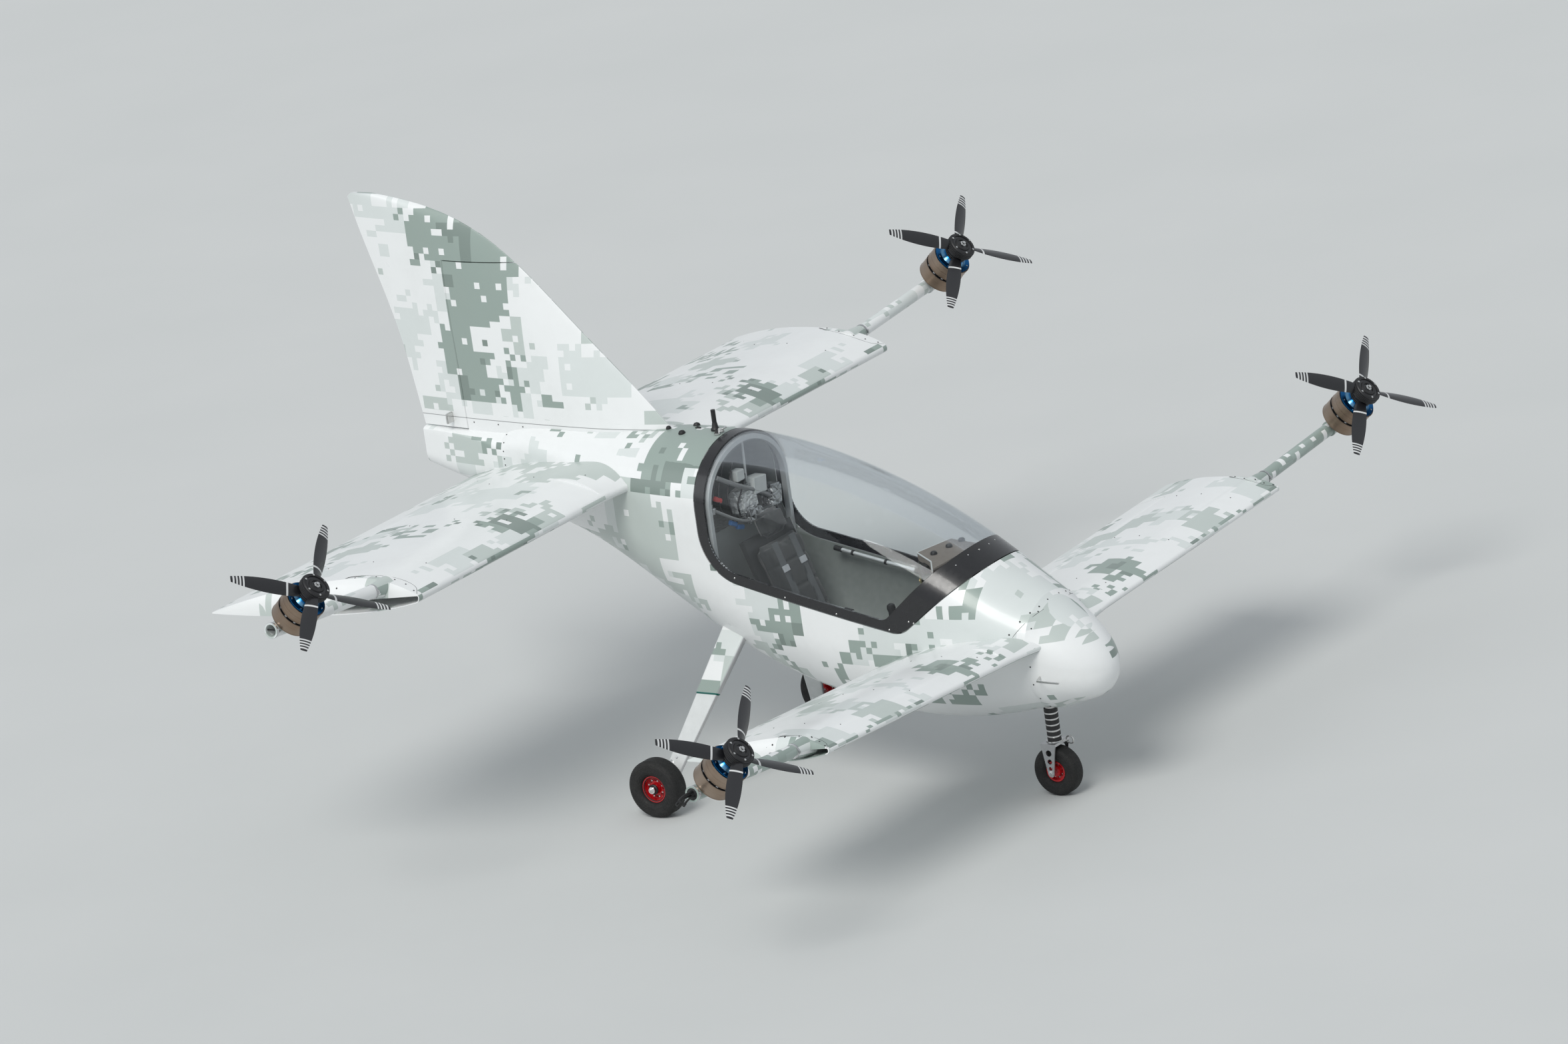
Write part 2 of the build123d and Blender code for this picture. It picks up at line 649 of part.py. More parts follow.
seat = across_cabin([
    (pan_fore, floor_top), (pan_fore, pan_fore_height), (pan_aft, pan_aft_height),
    (back_station, back_height), (back_station + seat_wall, back_height - seat_cap),
    (pan_aft + seat_bend, pan_aft_height - seat_wall),
    (pan_fore + seat_wall, pan_fore_height - seat_wall), (pan_fore + seat_wall, floor_top),
], seat_half)
panel = across_cabin(PANEL_SIDE, cabin_side) - (opening - form(CABIN, skin + panel_gap))
stick = rod((0, stick_station, floor_top), (0, 0, 1), stick_foot_radius, stick_foot_height)
stick += rod((0, stick_station, floor_top + stick_foot_lap), (0, stick_lean, 1), stick_radius,
             stick_length)
hoop_zone = block(-cabin_side, cabin_side, hoop_station, hoop_station + hoop_width, hoop_foot, far)
above_sill = block(-cabin_side, cabin_side, hoop_station - past, 0, canopy_aft_low, far)
hoop = (form(CABIN, skin + hoop_gap) - form(CABIN, skin + hoop_gap + hoop_thick)) & above_sill
hoop += (form(CABIN, skin + pack_gap) - form(CABIN, skin + pack_gap + hoop_thick)) - above_sill
hoop &= hoop_zone

# Aerial
mast = rod((0, mast_station, mast_foot), (0, 0, 1), mast_radius, mast_length) - cabin_form
mast = max(mast.solids(), key=lambda s: s.volume)

PIECES = {
    **blocks, "nose_cone": nose_cone, "fuselage": fuselage, "tail_cone": tail_cone,
    "canopy_frame": canopy_frame + hinge[-1] + hinge[1], "canopy_glass": canopy_glass,
    "canopy_brackets": ears, "fin": fin, "rudder": rudder, "seat": seat, "instrument_panel": panel,
    "control_stick": stick, "roll_hoop": hoop, "aerial": mast,
    "nose_strut": strut, "nose_fork": fork, "nose_tyre": nose_tyre, "nose_rim": nose_rim,
    "leg_left": leg, "leg_right": mirror(leg, about=Plane.YZ),
    "main_tyre_left": main_tyre, "main_tyre_right": mirror(main_tyre, about=Plane.YZ),
    "main_rim_left": main_rim, "main_rim_right": mirror(main_rim, about=Plane.YZ),
}

for name, wing, spar in (("rear", rear, (rear_boom_station, rear_boom_height, rear_pod_tilt)),
                         ("front", front, (front_boom_station, front_boom_height, front_pod_tilt))):
    tube, clamp, motor, flange, base, low, high = pod(*spar)
    tube_hole = boom_line(spar[0], spar[1], boom_root, boom_end, boom_radius)
    sleeve = taper(spar[0], spar[1], wing.tip - sleeve_in, wing.tip + sleeve_out)
    plane_wing = outboard(clear_of_body(wing.place * wing.wing()) + sleeve - tube_hole)
    elevon = wing.place * wing.surface()
    boom = tube + clamp
    lower = base * Pos(0, 0, low + low_hub_height / 2) * Rot(0, 0, prop_rest) * propeller(
        low_hub_radius, low_hub_height, 1)
    upper = base * Pos(0, 0, high + top_hub_height / 2) * Rot(0, 0, -prop_rest) * propeller(
        top_hub_radius, top_hub_height, -1)
    for part, shape in (("wing", plane_wing), ("elevon", elevon), ("boom", boom),
                        ("motor", motor), ("flange", flange), ("prop_low", lower),
                        ("prop_top", upper)):
        PIECES[f"{name}_{part}_left"] = shape
        PIECES[f"{name}_{part}_right"] = mirror(shape, about=Plane.YZ)

os.makedirs("parts", exist_ok=True)
for node, shape in PIECES.items():
    export_step(Pos(0, plan_shift, 0) * shape, f"parts/{node}.step")
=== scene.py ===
import json
from math import cos, exp, pi, radians, sin

import bmesh
import bpy
from mathutils import Matrix, Vector
from mathutils.bvhtree import BVHTree


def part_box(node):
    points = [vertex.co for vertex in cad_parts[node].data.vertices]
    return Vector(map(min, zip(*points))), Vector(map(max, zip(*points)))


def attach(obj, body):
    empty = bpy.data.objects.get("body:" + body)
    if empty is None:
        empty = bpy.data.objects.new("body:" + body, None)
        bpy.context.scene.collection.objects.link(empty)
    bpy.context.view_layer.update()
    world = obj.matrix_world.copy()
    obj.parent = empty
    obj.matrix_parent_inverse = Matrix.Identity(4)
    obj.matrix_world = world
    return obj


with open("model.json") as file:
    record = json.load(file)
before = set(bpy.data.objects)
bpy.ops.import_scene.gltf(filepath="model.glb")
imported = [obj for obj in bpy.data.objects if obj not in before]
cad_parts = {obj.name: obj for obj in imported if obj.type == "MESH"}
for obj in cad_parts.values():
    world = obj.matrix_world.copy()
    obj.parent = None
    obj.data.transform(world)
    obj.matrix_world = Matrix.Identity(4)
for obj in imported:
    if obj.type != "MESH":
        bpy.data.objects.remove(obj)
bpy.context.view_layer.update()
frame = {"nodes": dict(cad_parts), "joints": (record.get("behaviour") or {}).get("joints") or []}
NODES = frame["nodes"]
scene = bpy.context.scene

# Places are given in millimetres, aft from the main axle, as in the part's source
NOSE_TIP = -2154
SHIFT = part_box("nose_cone")[0].y - NOSE_TIP / 1000
SIDES = {"left": 1, "right": -1}
ENDS = ("front", "rear")
WINGS = {
    # leading edge, chord, tip, rake, inner end of the elevon, boom station, boom height
    "rear": (265, 1045, 1890, 210, 330, 462, 1540),
    "front": (-1895, 713, 1875, 100, 520, -1760, 942),
}
POD_SPAN, BOOM_OVERHANG, BOOM_RISE = 2600, 116, radians(5)

# Camera: focal length and width of the picture in pixels, its place, and two of its directions
FOCAL, PICTURE_WIDTH = 16000, 2356
CAMERA_AT = (-37510, -28839, 15347)
CAMERA_RIGHT, CAMERA_AHEAD = (0.5658, -0.8134, -0.1347), (0.7633, 0.5786, -0.2874)
SKY, SKY_STRENGTH = (0.90, 0.95, 1.0, 1), 0.58
SUNS = [
    # name, energy, width in degrees, colour, rotation in degrees
    ("key", 1.75, 26, (1.0, 0.985, 0.95), (40, -14, -62)),
    ("fill", 0.35, 40, (0.95, 0.98, 1.0), (62, 0, -130)),
]


def at(x, y, z):
    return Vector((x / 1000, y / 1000 + SHIFT, z / 1000))


def joint(name):
    j = next(j for j in frame["joints"] if j["name"] == name)
    return Vector(j["pos_m"]), Vector(j["axis"]).normalized()


def add_object(name, data):
    o = bpy.data.objects.new(name, data)
    scene.collection.objects.link(o)
    return o


# Camera and light
def camera():
    data = bpy.data.cameras.new("view")
    data.sensor_width = 36.0
    data.lens = FOCAL / PICTURE_WIDTH * data.sensor_width
    data.clip_end = 400
    cam = add_object("view", data)
    right = Vector(CAMERA_RIGHT).normalized()
    ahead = Vector(CAMERA_AHEAD)
    ahead = (ahead - right * ahead.dot(right)).normalized()
    down = ahead.cross(right)
    turn = Matrix((right, -down, -ahead)).transposed().to_4x4()
    cam.matrix_world = Matrix.Translation(at(*CAMERA_AT)) @ turn
    scene.camera = cam


def lights():
    scene.view_settings.view_transform = "Standard"
    world = bpy.data.worlds.new("studio")
    world.use_nodes = True
    back = world.node_tree.nodes["Background"]
    back.inputs[0].default_value = SKY
    back.inputs[1].default_value = SKY_STRENGTH
    scene.world = world
    for name, energy, width, colour, turn in SUNS:
        data = bpy.data.lights.new(name, "SUN")
        data.energy = energy
        data.angle = radians(width)
        data.color = colour
        add_object(name, data).rotation_euler = [radians(v) for v in turn]


camera()
lights()


# Shader helpers
class Graph:
    """A material's node tree, with short calls for its usual nodes."""

    def __init__(self, name):
        self.mat = bpy.data.materials.new(name)
        self.mat.use_nodes = True
        self.tree = self.mat.node_tree
        self.bsdf = self.tree.nodes["Principled BSDF"]
        coords = self.tree.nodes.new("ShaderNodeTexCoord")
        self.coord, self.normal = coords.outputs["Object"], coords.outputs["Normal"]
        self.xyz = self.split(self.coord)

    def feed(self, socket, value):
        if hasattr(value, "is_output"):
            self.tree.links.new(value, socket)
        else:
            socket.default_value = (*value, 1) if socket.type == "RGBA" else value

    def node(self, kind, *inputs, **values):
        n = self.tree.nodes.new(kind)
        for key, value in values.items():
            setattr(n, key, value)
        for socket, value in zip(n.inputs, inputs):
            if value is not None:
                self.feed(socket, value)
        return n

    def math(self, op, a, b=0.0, c=0.0):
        return self.node("ShaderNodeMath", a, b, c, operation=op).outputs[0]

    def mul(self, a, b):
        return self.math("MULTIPLY", a, b)

    def add(self, a, b):
        return self.math("ADD", a, b)

    def sub(self, a, b):
        return self.math("SUBTRACT", a, b)

    def less(self, value, limit):
        return self.math("LESS_THAN", value, limit)

    def vmath(self, op, a, b=(0, 0, 0)):
        n = self.node("ShaderNodeVectorMath", a, b, operation=op)
        return n.outputs["Value" if op in ("DOT_PRODUCT", "LENGTH") else "Vector"]

    def scaled(self, vector, factor):
        return self.node("ShaderNodeVectorMath", vector, None, None, factor, operation="SCALE").outputs[0]

    def split(self, v):
        return self.node("ShaderNodeSeparateXYZ", v).outputs

    def join(self, x, y, z):
        return self.node("ShaderNodeCombineXYZ", x, y, z).outputs[0]

    def noise(self, scale, detail=2.0, rough=0.5, vector=None):
        place = vector or self.coord
        return self.node("ShaderNodeTexNoise", place, None, scale, detail, rough).outputs["Fac"]

    def white(self, vector):
        return self.node("ShaderNodeTexWhiteNoise", vector).outputs["Value"]

    def mix(self, factor, a, b):
        return self.node("ShaderNodeMix", factor, *[None] * 5, a, b, data_type="RGBA").outputs[2]

    def choose(self, factor, a, b):
        """b where factor is 1, else a, for plain numbers."""
        return self.add(a, self.mul(factor, self.sub(b, a)))

    def ramp(self, value, low, high, start=0.0, end=1.0):
        return self.node("ShaderNodeMapRange", value, low, high, start, end).outputs[0]

    def above(self, value, limit):
        return self.math("GREATER_THAN", value, limit)

    def band(self, value, low, high, soft=0.0005):
        up = self.ramp(value, low - soft, low + soft)
        return self.mul(up, self.ramp(value, high + soft, high - soft))

    def set(self, **values):
        for key, value in values.items():
            self.feed(self.bsdf.inputs[key.replace("_", " ")], value)

    def bump(self, height, strength=0.2, distance=0.001):
        n = self.node("ShaderNodeBump")
        n.inputs["Strength"].default_value = strength
        n.inputs["Distance"].default_value = distance
        self.feed(n.inputs["Height"], height)
        self.feed(self.bsdf.inputs["Normal"], n.outputs[0])


WHITE = (0.80, 0.815, 0.815)
FAINT = (0.66, 0.70, 0.69)
PALE = (0.50, 0.555, 0.53)
MIDDLE = (0.29, 0.355, 0.325)
DEEP = (0.205, 0.255, 0.232)
LINING, LINING_LIGHT = (0.17, 0.19, 0.185), (0.24, 0.26, 0.25)
SEAM = (0.10, 0.105, 0.11)
ALLOY = (0.60, 0.60, 0.61)
TEAL = (0.0, 0.12, 0.10)

# Camouflage: side of a cell in metres, and how far single cells and blocks stray from the noise
CELL, GRAIN, BLOCK = 0.031, 0.055, 0.07
CAMO = [
    # place in the noise, its scale, the level above which the layer shows, and its colour; main one last
    ((11.9, -35.2, 9.4), 0.20, 0.60, FAINT),
    ((31.3, 17.7, 5.1), 0.18, 0.615, PALE),
    ((0, 0, 0), 0.15, 0.605, MIDDLE),
]
# Layer that darkens the main one, with its level and the main one's, and the same for white cells
DARK_LAYER, DARK_ABOVE, DARK_FROM = ((-23.1, 40.2, 2.4), 0.26), 0.60, 0.62
HOLES_ABOVE, HOLES_FROM = 0.94, 0.60


def cells(g, u, v, size, seed):
    """The corner of each square cell as a point, and the same in blocks of two by two."""
    def corner(value, step):
        return g.math("FLOOR", g.math("DIVIDE", value, step))

    cu, cv = corner(u, size), corner(v, size)
    return g.join(cu, cv, seed), g.join(corner(cu, 2.0), corner(cv, 2.0), seed + 0.5)


def patches(g, u, v, size=CELL, seed=0.0, amount=0.0):
    """Colour of a pixel camouflage: grey-green patches in stepped cells over white."""
    fine, coarse = cells(g, u, v, size, seed)
    grain = g.mul(g.sub(g.white(fine), 0.5), GRAIN)
    block = g.mul(g.sub(g.white(coarse), 0.5), BLOCK)
    stir = g.add(grain, block)

    def field(place, scale):
        return g.add(g.noise(scale, 1.2, vector=g.vmath("ADD", coarse, place)), stir)

    colour = WHITE
    for place, scale, level, tone in CAMO:
        main = field(place, scale)
        colour = g.mix(g.above(main, level - amount), colour, tone)
    dark = g.mul(g.above(main, DARK_FROM - amount), g.above(field(*DARK_LAYER), DARK_ABOVE))
    colour = g.mix(dark, colour, DEEP)
    holes = g.mul(g.above(main, HOLES_FROM - amount), g.above(g.white(fine), HOLES_ABOVE))
    return g.mix(holes, colour, WHITE)


def aged(g, colour, amount=0.10):
    """A little soft grime, and the clear coat of the paint."""
    grime = g.noise(3.5, 5.0, 0.6)
    streak = g.noise(22, 4.0, 0.7)
    dirt = g.mul(g.ramp(grime, 0.40, 0.75), g.ramp(streak, 0.35, 0.7, 0.3, 1.0))
    colour = g.mix(g.mul(dirt, amount), colour, (0.30, 0.30, 0.27))
    g.set(Base_Color=colour, Coat_Weight=0.25, Coat_Roughness=0.12)
    g.set(Roughness=g.ramp(g.noise(9, 4), 0.2, 0.8, 0.26, 0.44))
    g.bump(g.noise(45, 3), 0.05, 0.0006)
    return g.mat


# Lean of the skin from which the crown's pattern shows, and the shell's middle as rise aft and height
CROWN_FROM, SHELL_RISE, SHELL_MIDDLE = 0.74, 0.20, 1.10


def body_paint(name, seed, lined=False):
    """Camouflage seen square on from the side, and from above over the crown."""
    g = Graph(name)
    x, y, z = g.xyz
    nz = g.split(g.normal)[2]
    top = g.above(g.math("ABSOLUTE", nz), CROWN_FROM)
    side = g.mul(g.math("SIGN", x), 3.1)
    v = g.choose(top, g.add(z, side), g.add(x, 0.6))
    colour = patches(g, y, v, seed=seed, amount=0.012)
    if lined:
        middle = g.math("MULTIPLY_ADD", y, SHELL_RISE, SHELL_MIDDLE)
        out = g.join(x, 0.0, g.sub(z, middle))
        inner = g.less(g.vmath("DOT_PRODUCT", g.normal, out), 0.0)
        lining = g.mix(g.noise(30, 4), LINING, LINING_LIGHT)
        colour = g.mix(inner, colour, lining)
    return aged(g, colour)


def wing_paint(name, seed, sign):
    """Camouflage laid out in plan, turned down round the leading edge."""
    g = Graph(name)
    x, y, z = g.xyz
    _, ny, nz = g.split(g.normal)
    front = g.less(ny, -0.8)
    v = g.choose(front, y, g.add(z, 0.4))
    under = g.mul(g.less(nz, -0.2), 7.0)
    colour = patches(g, g.mul(x, sign), g.add(v, under), seed=seed, amount=0.015)
    return aged(g, colour)


# Height of the fin's foot, left white, and of the seam in it
FIN_FOOT, FIN_SEAM = 1.665, (1.6385, 1.6415)


def fin_paint(name, seed):
    g = Graph(name)
    x, y, z = g.xyz
    side = g.mul(g.math("SIGN", x), 5.2)
    colour = patches(g, y, g.add(z, side), seed=seed, amount=0.03)
    foot = g.less(z, FIN_FOOT)
    colour = g.mix(foot, colour, WHITE)
    seam = g.band(z, *FIN_SEAM, 0.0006)
    return aged(g, g.mix(g.mul(seam, 0.85), colour, SEAM))


def boom_paint(name, seed, dark):
    """Front booms are grey-green with a few white cells, rear booms the other way round."""
    g = Graph(name)
    x, y, z = g.xyz
    fine, coarse = cells(g, x, g.add(y, z), CELL, seed)
    few = g.above(g.white(fine), 0.86)
    base, other = (MIDDLE, WHITE) if dark else (WHITE, PALE)
    second = (0.33, 0.40, 0.37) if dark else FAINT
    lighter = g.mix(g.above(g.white(coarse), 0.6), base, second)
    return aged(g, g.mix(few, lighter, other))


# Main legs: top in x and z, direction down the leg, and how far along it the cuff is
LEG_TOP, LEG_RUN, CUFF = (0.238, 0.758), (0.5104, -0.8599), 0.42 * 0.721


def leg_paint(name, sign):
    """Wrapped and camouflaged above the cuff, plain below, bare metal on the front edge."""
    g = Graph(name)
    x, y, z = g.xyz
    ny = g.split(g.normal)[1]
    out = g.mul(g.sub(g.math("ABSOLUTE", x), LEG_TOP[0]), LEG_RUN[0])
    down = g.mul(g.sub(z, LEG_TOP[1]), LEG_RUN[1])
    along = g.add(out, down)
    colour = patches(g, y, along, size=0.03, seed=4.0 + sign, amount=0.06)
    plain = g.mix(g.noise(14, 5, 0.7), (0.72, 0.74, 0.74), (0.56, 0.58, 0.58))
    colour = g.mix(g.above(along, CUFF), colour, plain)
    edge = g.less(ny, -0.7)
    colour = g.mix(edge, colour, ALLOY)
    colour = g.mix(g.band(along, CUFF - 0.004, CUFF + 0.004), colour, TEAL)
    g.set(Metallic=g.mul(edge, 0.9))
    return aged(g, colour, 0.16)


def paint(name, colour, rough=0.4, metal=0.0, vary=0.15, scale=20, bump=0.1, coat=0.0):
    g = Graph(name)
    dark = [c * (1 - vary) for c in colour]
    light = [min(1, c * (1 + vary * 0.6)) for c in colour]
    g.set(Base_Color=g.mix(g.noise(scale, 4.0), dark, light), Metallic=metal)
    g.set(Coat_Weight=coat, Coat_Roughness=0.1)
    g.set(Roughness=g.ramp(g.noise(scale * 2, 4), 0.25, 0.75, rough * 0.8, min(1, rough * 1.2)))
    g.bump(g.noise(scale * 8, 3), bump, 0.0008)
    return g.mat


def about(g, point, axis):
    """Distance along an axis from a point on it, and distance from the axis."""
    rel = g.vmath("SUBTRACT", g.coord, tuple(point))
    along = g.vmath("DOT_PRODUCT", rel, tuple(axis))
    flat = g.vmath("SUBTRACT", rel, g.scaled(tuple(axis), along))
    return along, g.vmath("LENGTH", flat)


def rings(g, along, radius, pitch):
    """Fine turned rings about an axis."""
    return g.noise(1.0, 3, vector=g.join(g.mul(along, pitch), g.mul(radius, pitch), 0.0))


# Middle of the break between the two cans along the motor's axis, and half its width
BREAK_AT, BREAK_HALF = 0.113, 0.0065


def motor_metal(name, point, axis):
    """Turned bronze cans, black inside and in the break between them, with paler patches painted on as
    highlights.
    """
    g = Graph(name)
    along, radius = about(g, point, axis)
    fine = rings(g, along, radius, 300)
    colour = g.mix(fine, (0.19, 0.13, 0.09), (0.36, 0.27, 0.20))
    # Paler patches mixed into the bronze by noise: a painted highlight, not a tone of the metal
    painted_shine = g.noise(7, 2)
    colour = g.mix(g.ramp(painted_shine, 0.35, 0.7, 0, 0.5), colour, (0.44, 0.37, 0.31))
    inside = g.ramp(radius, 0.0905, 0.0895)
    dark = g.math("MAXIMUM", inside, g.band(along, BREAK_AT - BREAK_HALF, BREAK_AT + BREAK_HALF))
    colour = g.mix(dark, colour, (0.006, 0.006, 0.007))
    g.set(Base_Color=colour, Metallic=g.choose(dark, 0.9, 0.0))
    g.set(Roughness=g.ramp(fine, 0.2, 0.8, 0.24, 0.40))
    g.bump(fine, 0.12, 0.0004)
    return g.mat


def flange_metal(name, point, axis):
    """Blue anodised metal with a brighter ring painted on as a highlight."""
    g = Graph(name)
    along, radius = about(g, point, axis)
    fine = rings(g, along, radius, 400)
    colour = g.mix(fine, (0.004, 0.085, 0.26), (0.01, 0.16, 0.42))
    # The brighter ring is a painted highlight on the anodised face
    bright = g.band(radius, 0.055, 0.068, 0.003)
    colour = g.mix(g.mul(bright, 0.6), colour, (0.22, 0.45, 0.62))
    colour = g.mix(g.ramp(radius, 0.016, 0.014), colour, (0.1, 0.1, 0.1))
    g.set(Base_Color=colour, Metallic=0.95, Roughness=g.ramp(fine, 0.2, 0.8, 0.18, 0.32))
    g.bump(fine, 0.08, 0.0003)
    return g.mat


# Pale bands of a blade: one near the root and four at the tip, as inner and outer radius
BLADE_BANDS = [(0.118, 0.128), (0.340, 0.348), (0.357, 0.365), (0.374, 0.382), (0.391, 0.40)]


def blade_black(name, point, axis):
    """Woven black blades with a pale band near the root and pale bands at the tip."""
    g = Graph(name)
    along, radius = about(g, point, axis)
    weave = g.noise(240, 3)
    colour = g.mix(weave, (0.005, 0.005, 0.006), (0.015, 0.015, 0.018))
    for low, high in BLADE_BANDS:
        colour = g.mix(g.band(radius, low, high, 0.0006), colour, (0.66, 0.67, 0.67))
    g.set(Base_Color=colour, Roughness=0.32, Coat_Weight=0.3, Coat_Roughness=0.15)
    g.bump(weave, 0.15, 0.0004)
    return g.mat


def tyre_black(name, point):
    """Rubber with moulded rings on the sidewall and dust on the tread."""
    g = Graph(name)
    along, radius = about(g, point, Vector((1, 0, 0)))
    grain = g.noise(160, 4)
    dust = g.ramp(g.noise(16, 5, 0.7), 0.45, 0.75, 0, 0.4)
    colour = g.mix(dust, (0.007, 0.007, 0.007), (0.035, 0.033, 0.030))
    wave = g.math("SINE", g.mul(radius, 2 * pi / 0.0085))
    side = g.above(g.math("ABSOLUTE", along), 0.030)
    height = g.add(g.mul(g.mul(wave, side), 0.5), grain)
    g.set(Base_Color=colour, Roughness=g.ramp(grain, 0.3, 0.7, 0.62, 0.85))
    g.bump(height, 0.4, 0.0012)
    return g.mat


# Springs of the nose strut: height of the lowest, pitch, and thickness of a disc
SPRING_BASE, SPRING_PITCH, SPRING_DISC = 0.2603, 0.028, 0.018


def strut_stack(name):
    """Rubber springs with bright washers between them."""
    g = Graph(name)
    x, y, z = g.xyz
    step = g.math("FRACT", g.math("DIVIDE", g.sub(z, SPRING_BASE), SPRING_PITCH))
    metal = g.above(step, SPRING_DISC / SPRING_PITCH)
    washer = g.mix(g.noise(90, 3), ALLOY, (0.35, 0.34, 0.32))
    g.set(Base_Color=g.mix(metal, (0.018, 0.018, 0.019), washer), Metallic=metal)
    g.set(Roughness=g.choose(metal, 0.6, 0.28))
    g.bump(g.noise(200, 2), 0.1, 0.0005)
    return g.mat


# Inner edge of the black band painted over the front of the pane: lower corner, and rise over run
BAND_CORNER, BAND_SLOPE = at(0, -1158, 909), 0.8655


def clear_pane(name):
    """Clear plastic: gloss by angle, faint scratches, what is behind it, and a black band in front."""
    g = Graph(name)
    x, y, z = g.xyz
    scratch = g.ramp(g.noise(26, 8, 0.75), 0.58, 0.78, 0.0, 0.025)
    fresnel = g.node("ShaderNodeFresnel", 1.38).outputs[0]
    amount = g.add(g.mul(fresnel, 0.45), scratch)
    see = g.node("ShaderNodeBsdfTransparent", (0.975, 0.985, 0.985))
    gloss = g.node("ShaderNodeBsdfGlossy", (0.95, 0.97, 1.0), 0.03)
    clear = g.node("ShaderNodeMixShader", amount, see.outputs[0], gloss.outputs[0])
    black = g.mix(g.noise(20, 4), (0.008, 0.008, 0.009), (0.014, 0.014, 0.015))
    g.set(Base_Color=black, Roughness=0.3, Coat_Weight=0.3, Coat_Roughness=0.15)
    run = g.mul(g.sub(y, BAND_CORNER.y), BAND_SLOPE)
    painted = g.less(g.add(g.sub(z, BAND_CORNER.z), run), 0.0)
    blend = g.node("ShaderNodeMixShader", painted, clear.outputs[0], g.bsdf.outputs[0])
    out = next(n for n in g.tree.nodes if n.type == "OUTPUT_MATERIAL")
    g.tree.links.new(blend.outputs[0], out.inputs["Surface"])
    return g.mat


def foil(name, colour, shade, metal):
    g = Graph(name)
    crease = g.node("ShaderNodeTexVoronoi", g.coord, feature="DISTANCE_TO_EDGE")
    crease.inputs["Scale"].default_value = 30
    height = g.add(crease.outputs["Distance"], g.noise(30, 4, 0.7))
    g.set(Base_Color=g.mix(g.noise(18, 4), colour, shade), Metallic=metal, Roughness=0.24)
    g.bump(height, 1.0, 0.02)
    return g.mat


def cloth(name, colour, weave=900):
    g = Graph(name)
    x, y, z = g.xyz
    across = g.math("SINE", g.mul(x, weave * 2 * pi))
    down = g.math("SINE", g.mul(g.add(y, z), weave * 2 * pi))
    soft = g.noise(22, 5, 0.6)
    g.set(Base_Color=g.mix(soft, colour, [c * 2.1 for c in colour]), Roughness=0.92)
    g.set(Sheen_Weight=0.25, Sheen_Roughness=0.5)
    threads = g.mul(across, down)
    g.bump(g.add(threads, g.mul(soft, 2.0)), 0.3, 0.0008)
    return g.mat


BLACK = paint("gloss_black", (0.010, 0.010, 0.012), 0.3, coat=0.35, vary=0.3)
DULL = paint("dull_black", (0.011, 0.011, 0.012), 0.5, bump=0.2)
METAL = paint("brushed_alloy", ALLOY, 0.33, metal=1.0, vary=0.12, scale=60)
STEEL = paint("bright_steel", (0.66, 0.66, 0.65), 0.22, metal=1.0, vary=0.15, scale=80)
RED = paint("red_rim", (0.52, 0.010, 0.016), 0.28, metal=0.3, vary=0.2, coat=0.5)
GREY = paint("cabin_grey", (0.20, 0.215, 0.21), 0.7, bump=0.25)
HOOP = paint("hoop_grey", (0.55, 0.57, 0.58), 0.38, metal=0.35)
CASE = paint("case_grey", (0.25, 0.255, 0.26), 0.5)
BROWN = paint("console_brown", (0.20, 0.175, 0.155), 0.75, bump=0.3, scale=40)
KHAKI = paint("khaki_plate", (0.20, 0.19, 0.11), 0.6, bump=0.2)
BRASS = paint("brass_screw", (0.62, 0.45, 0.18), 0.3, metal=1.0)
TAG = paint("red_tag", (0.5, 0.015, 0.012), 0.6, bump=0.3)
BLUE = paint("blue_plug", (0.02, 0.16, 0.45))
PALE_BOX = paint("pale_box", (0.60, 0.62, 0.62), 0.5, bump=0.25)
SCREEN = paint("dark_screen", (0.008, 0.010, 0.014), 0.12, coat=0.8)
SEAT = cloth("seat_cloth", (0.016, 0.017, 0.018))
STRAP = cloth("strap_web", (0.05, 0.055, 0.06), 1400)
FOIL = foil("crinkled_foil", (0.62, 0.63, 0.64), (0.30, 0.31, 0.32), 0.85)
SHEEN = foil("pale_foil", (0.74, 0.75, 0.75), (0.55, 0.57, 0.58), 0.3)
PANE = clear_pane("clear_bubble")
STACK = strut_stack("strut_stack")


def smooth(mesh):
    mesh.polygons.foreach_set("use_smooth", [True] * len(mesh.polygons))


def split_edges(o, crease):
    split = o.modifiers.new("split", "EDGE_SPLIT")
    split.split_angle = radians(crease)


def dress(node, material, crease=28):
    """Puts a material on a node of the CAD model, with smooth faces between its edges."""
    o = NODES[node]
    o.data.materials.clear()
    o.data.materials.append(material)
    smooth(o.data)
    if "custom_normal" in o.data.attributes:
        o.data.attributes.remove(o.data.attributes["custom_normal"])
    weld = o.modifiers.new("weld", "WELD")
    weld.merge_threshold = 0.00005
    split_edges(o, crease)


LOOK = {
    "nose_cone": body_paint("camo_nose", 3.0), "tail_cone": body_paint("camo_tail", 61.0),
    "fuselage": body_paint("camo_body", 3.0, lined=True),
    "fin": fin_paint("camo_fin", 23.0), "rudder": fin_paint("camo_rudder", 23.0),
    "canopy_frame": BLACK, "canopy_glass": PANE, "canopy_brackets": METAL, "cabin_floor": GREY,
    "bulkhead": GREY, "battery_floor": CASE, "battery_nose": CASE, "equipment_bay": SHEEN,
    "seat": DULL, "instrument_panel": GREY, "control_stick": DULL, "roll_hoop": HOOP,
    "aerial": DULL, "nose_strut": STACK, "nose_fork": METAL, "nose_rim": RED,
    "leg_left": leg_paint("leg_left", 1), "leg_right": leg_paint("leg_right", -1),
    "main_rim_left": RED, "main_rim_right": RED,
}
TYRES = {"main_tyre_left": "main_wheel_left_spin", "main_tyre_right": "main_wheel_right_spin",
         "nose_tyre": "nose_wheel_spin"}
for node, material in LOOK.items():
    dress(node, material)
for node, spin in TYRES.items():
    dress(node, tyre_black(node, joint(spin)[0]))
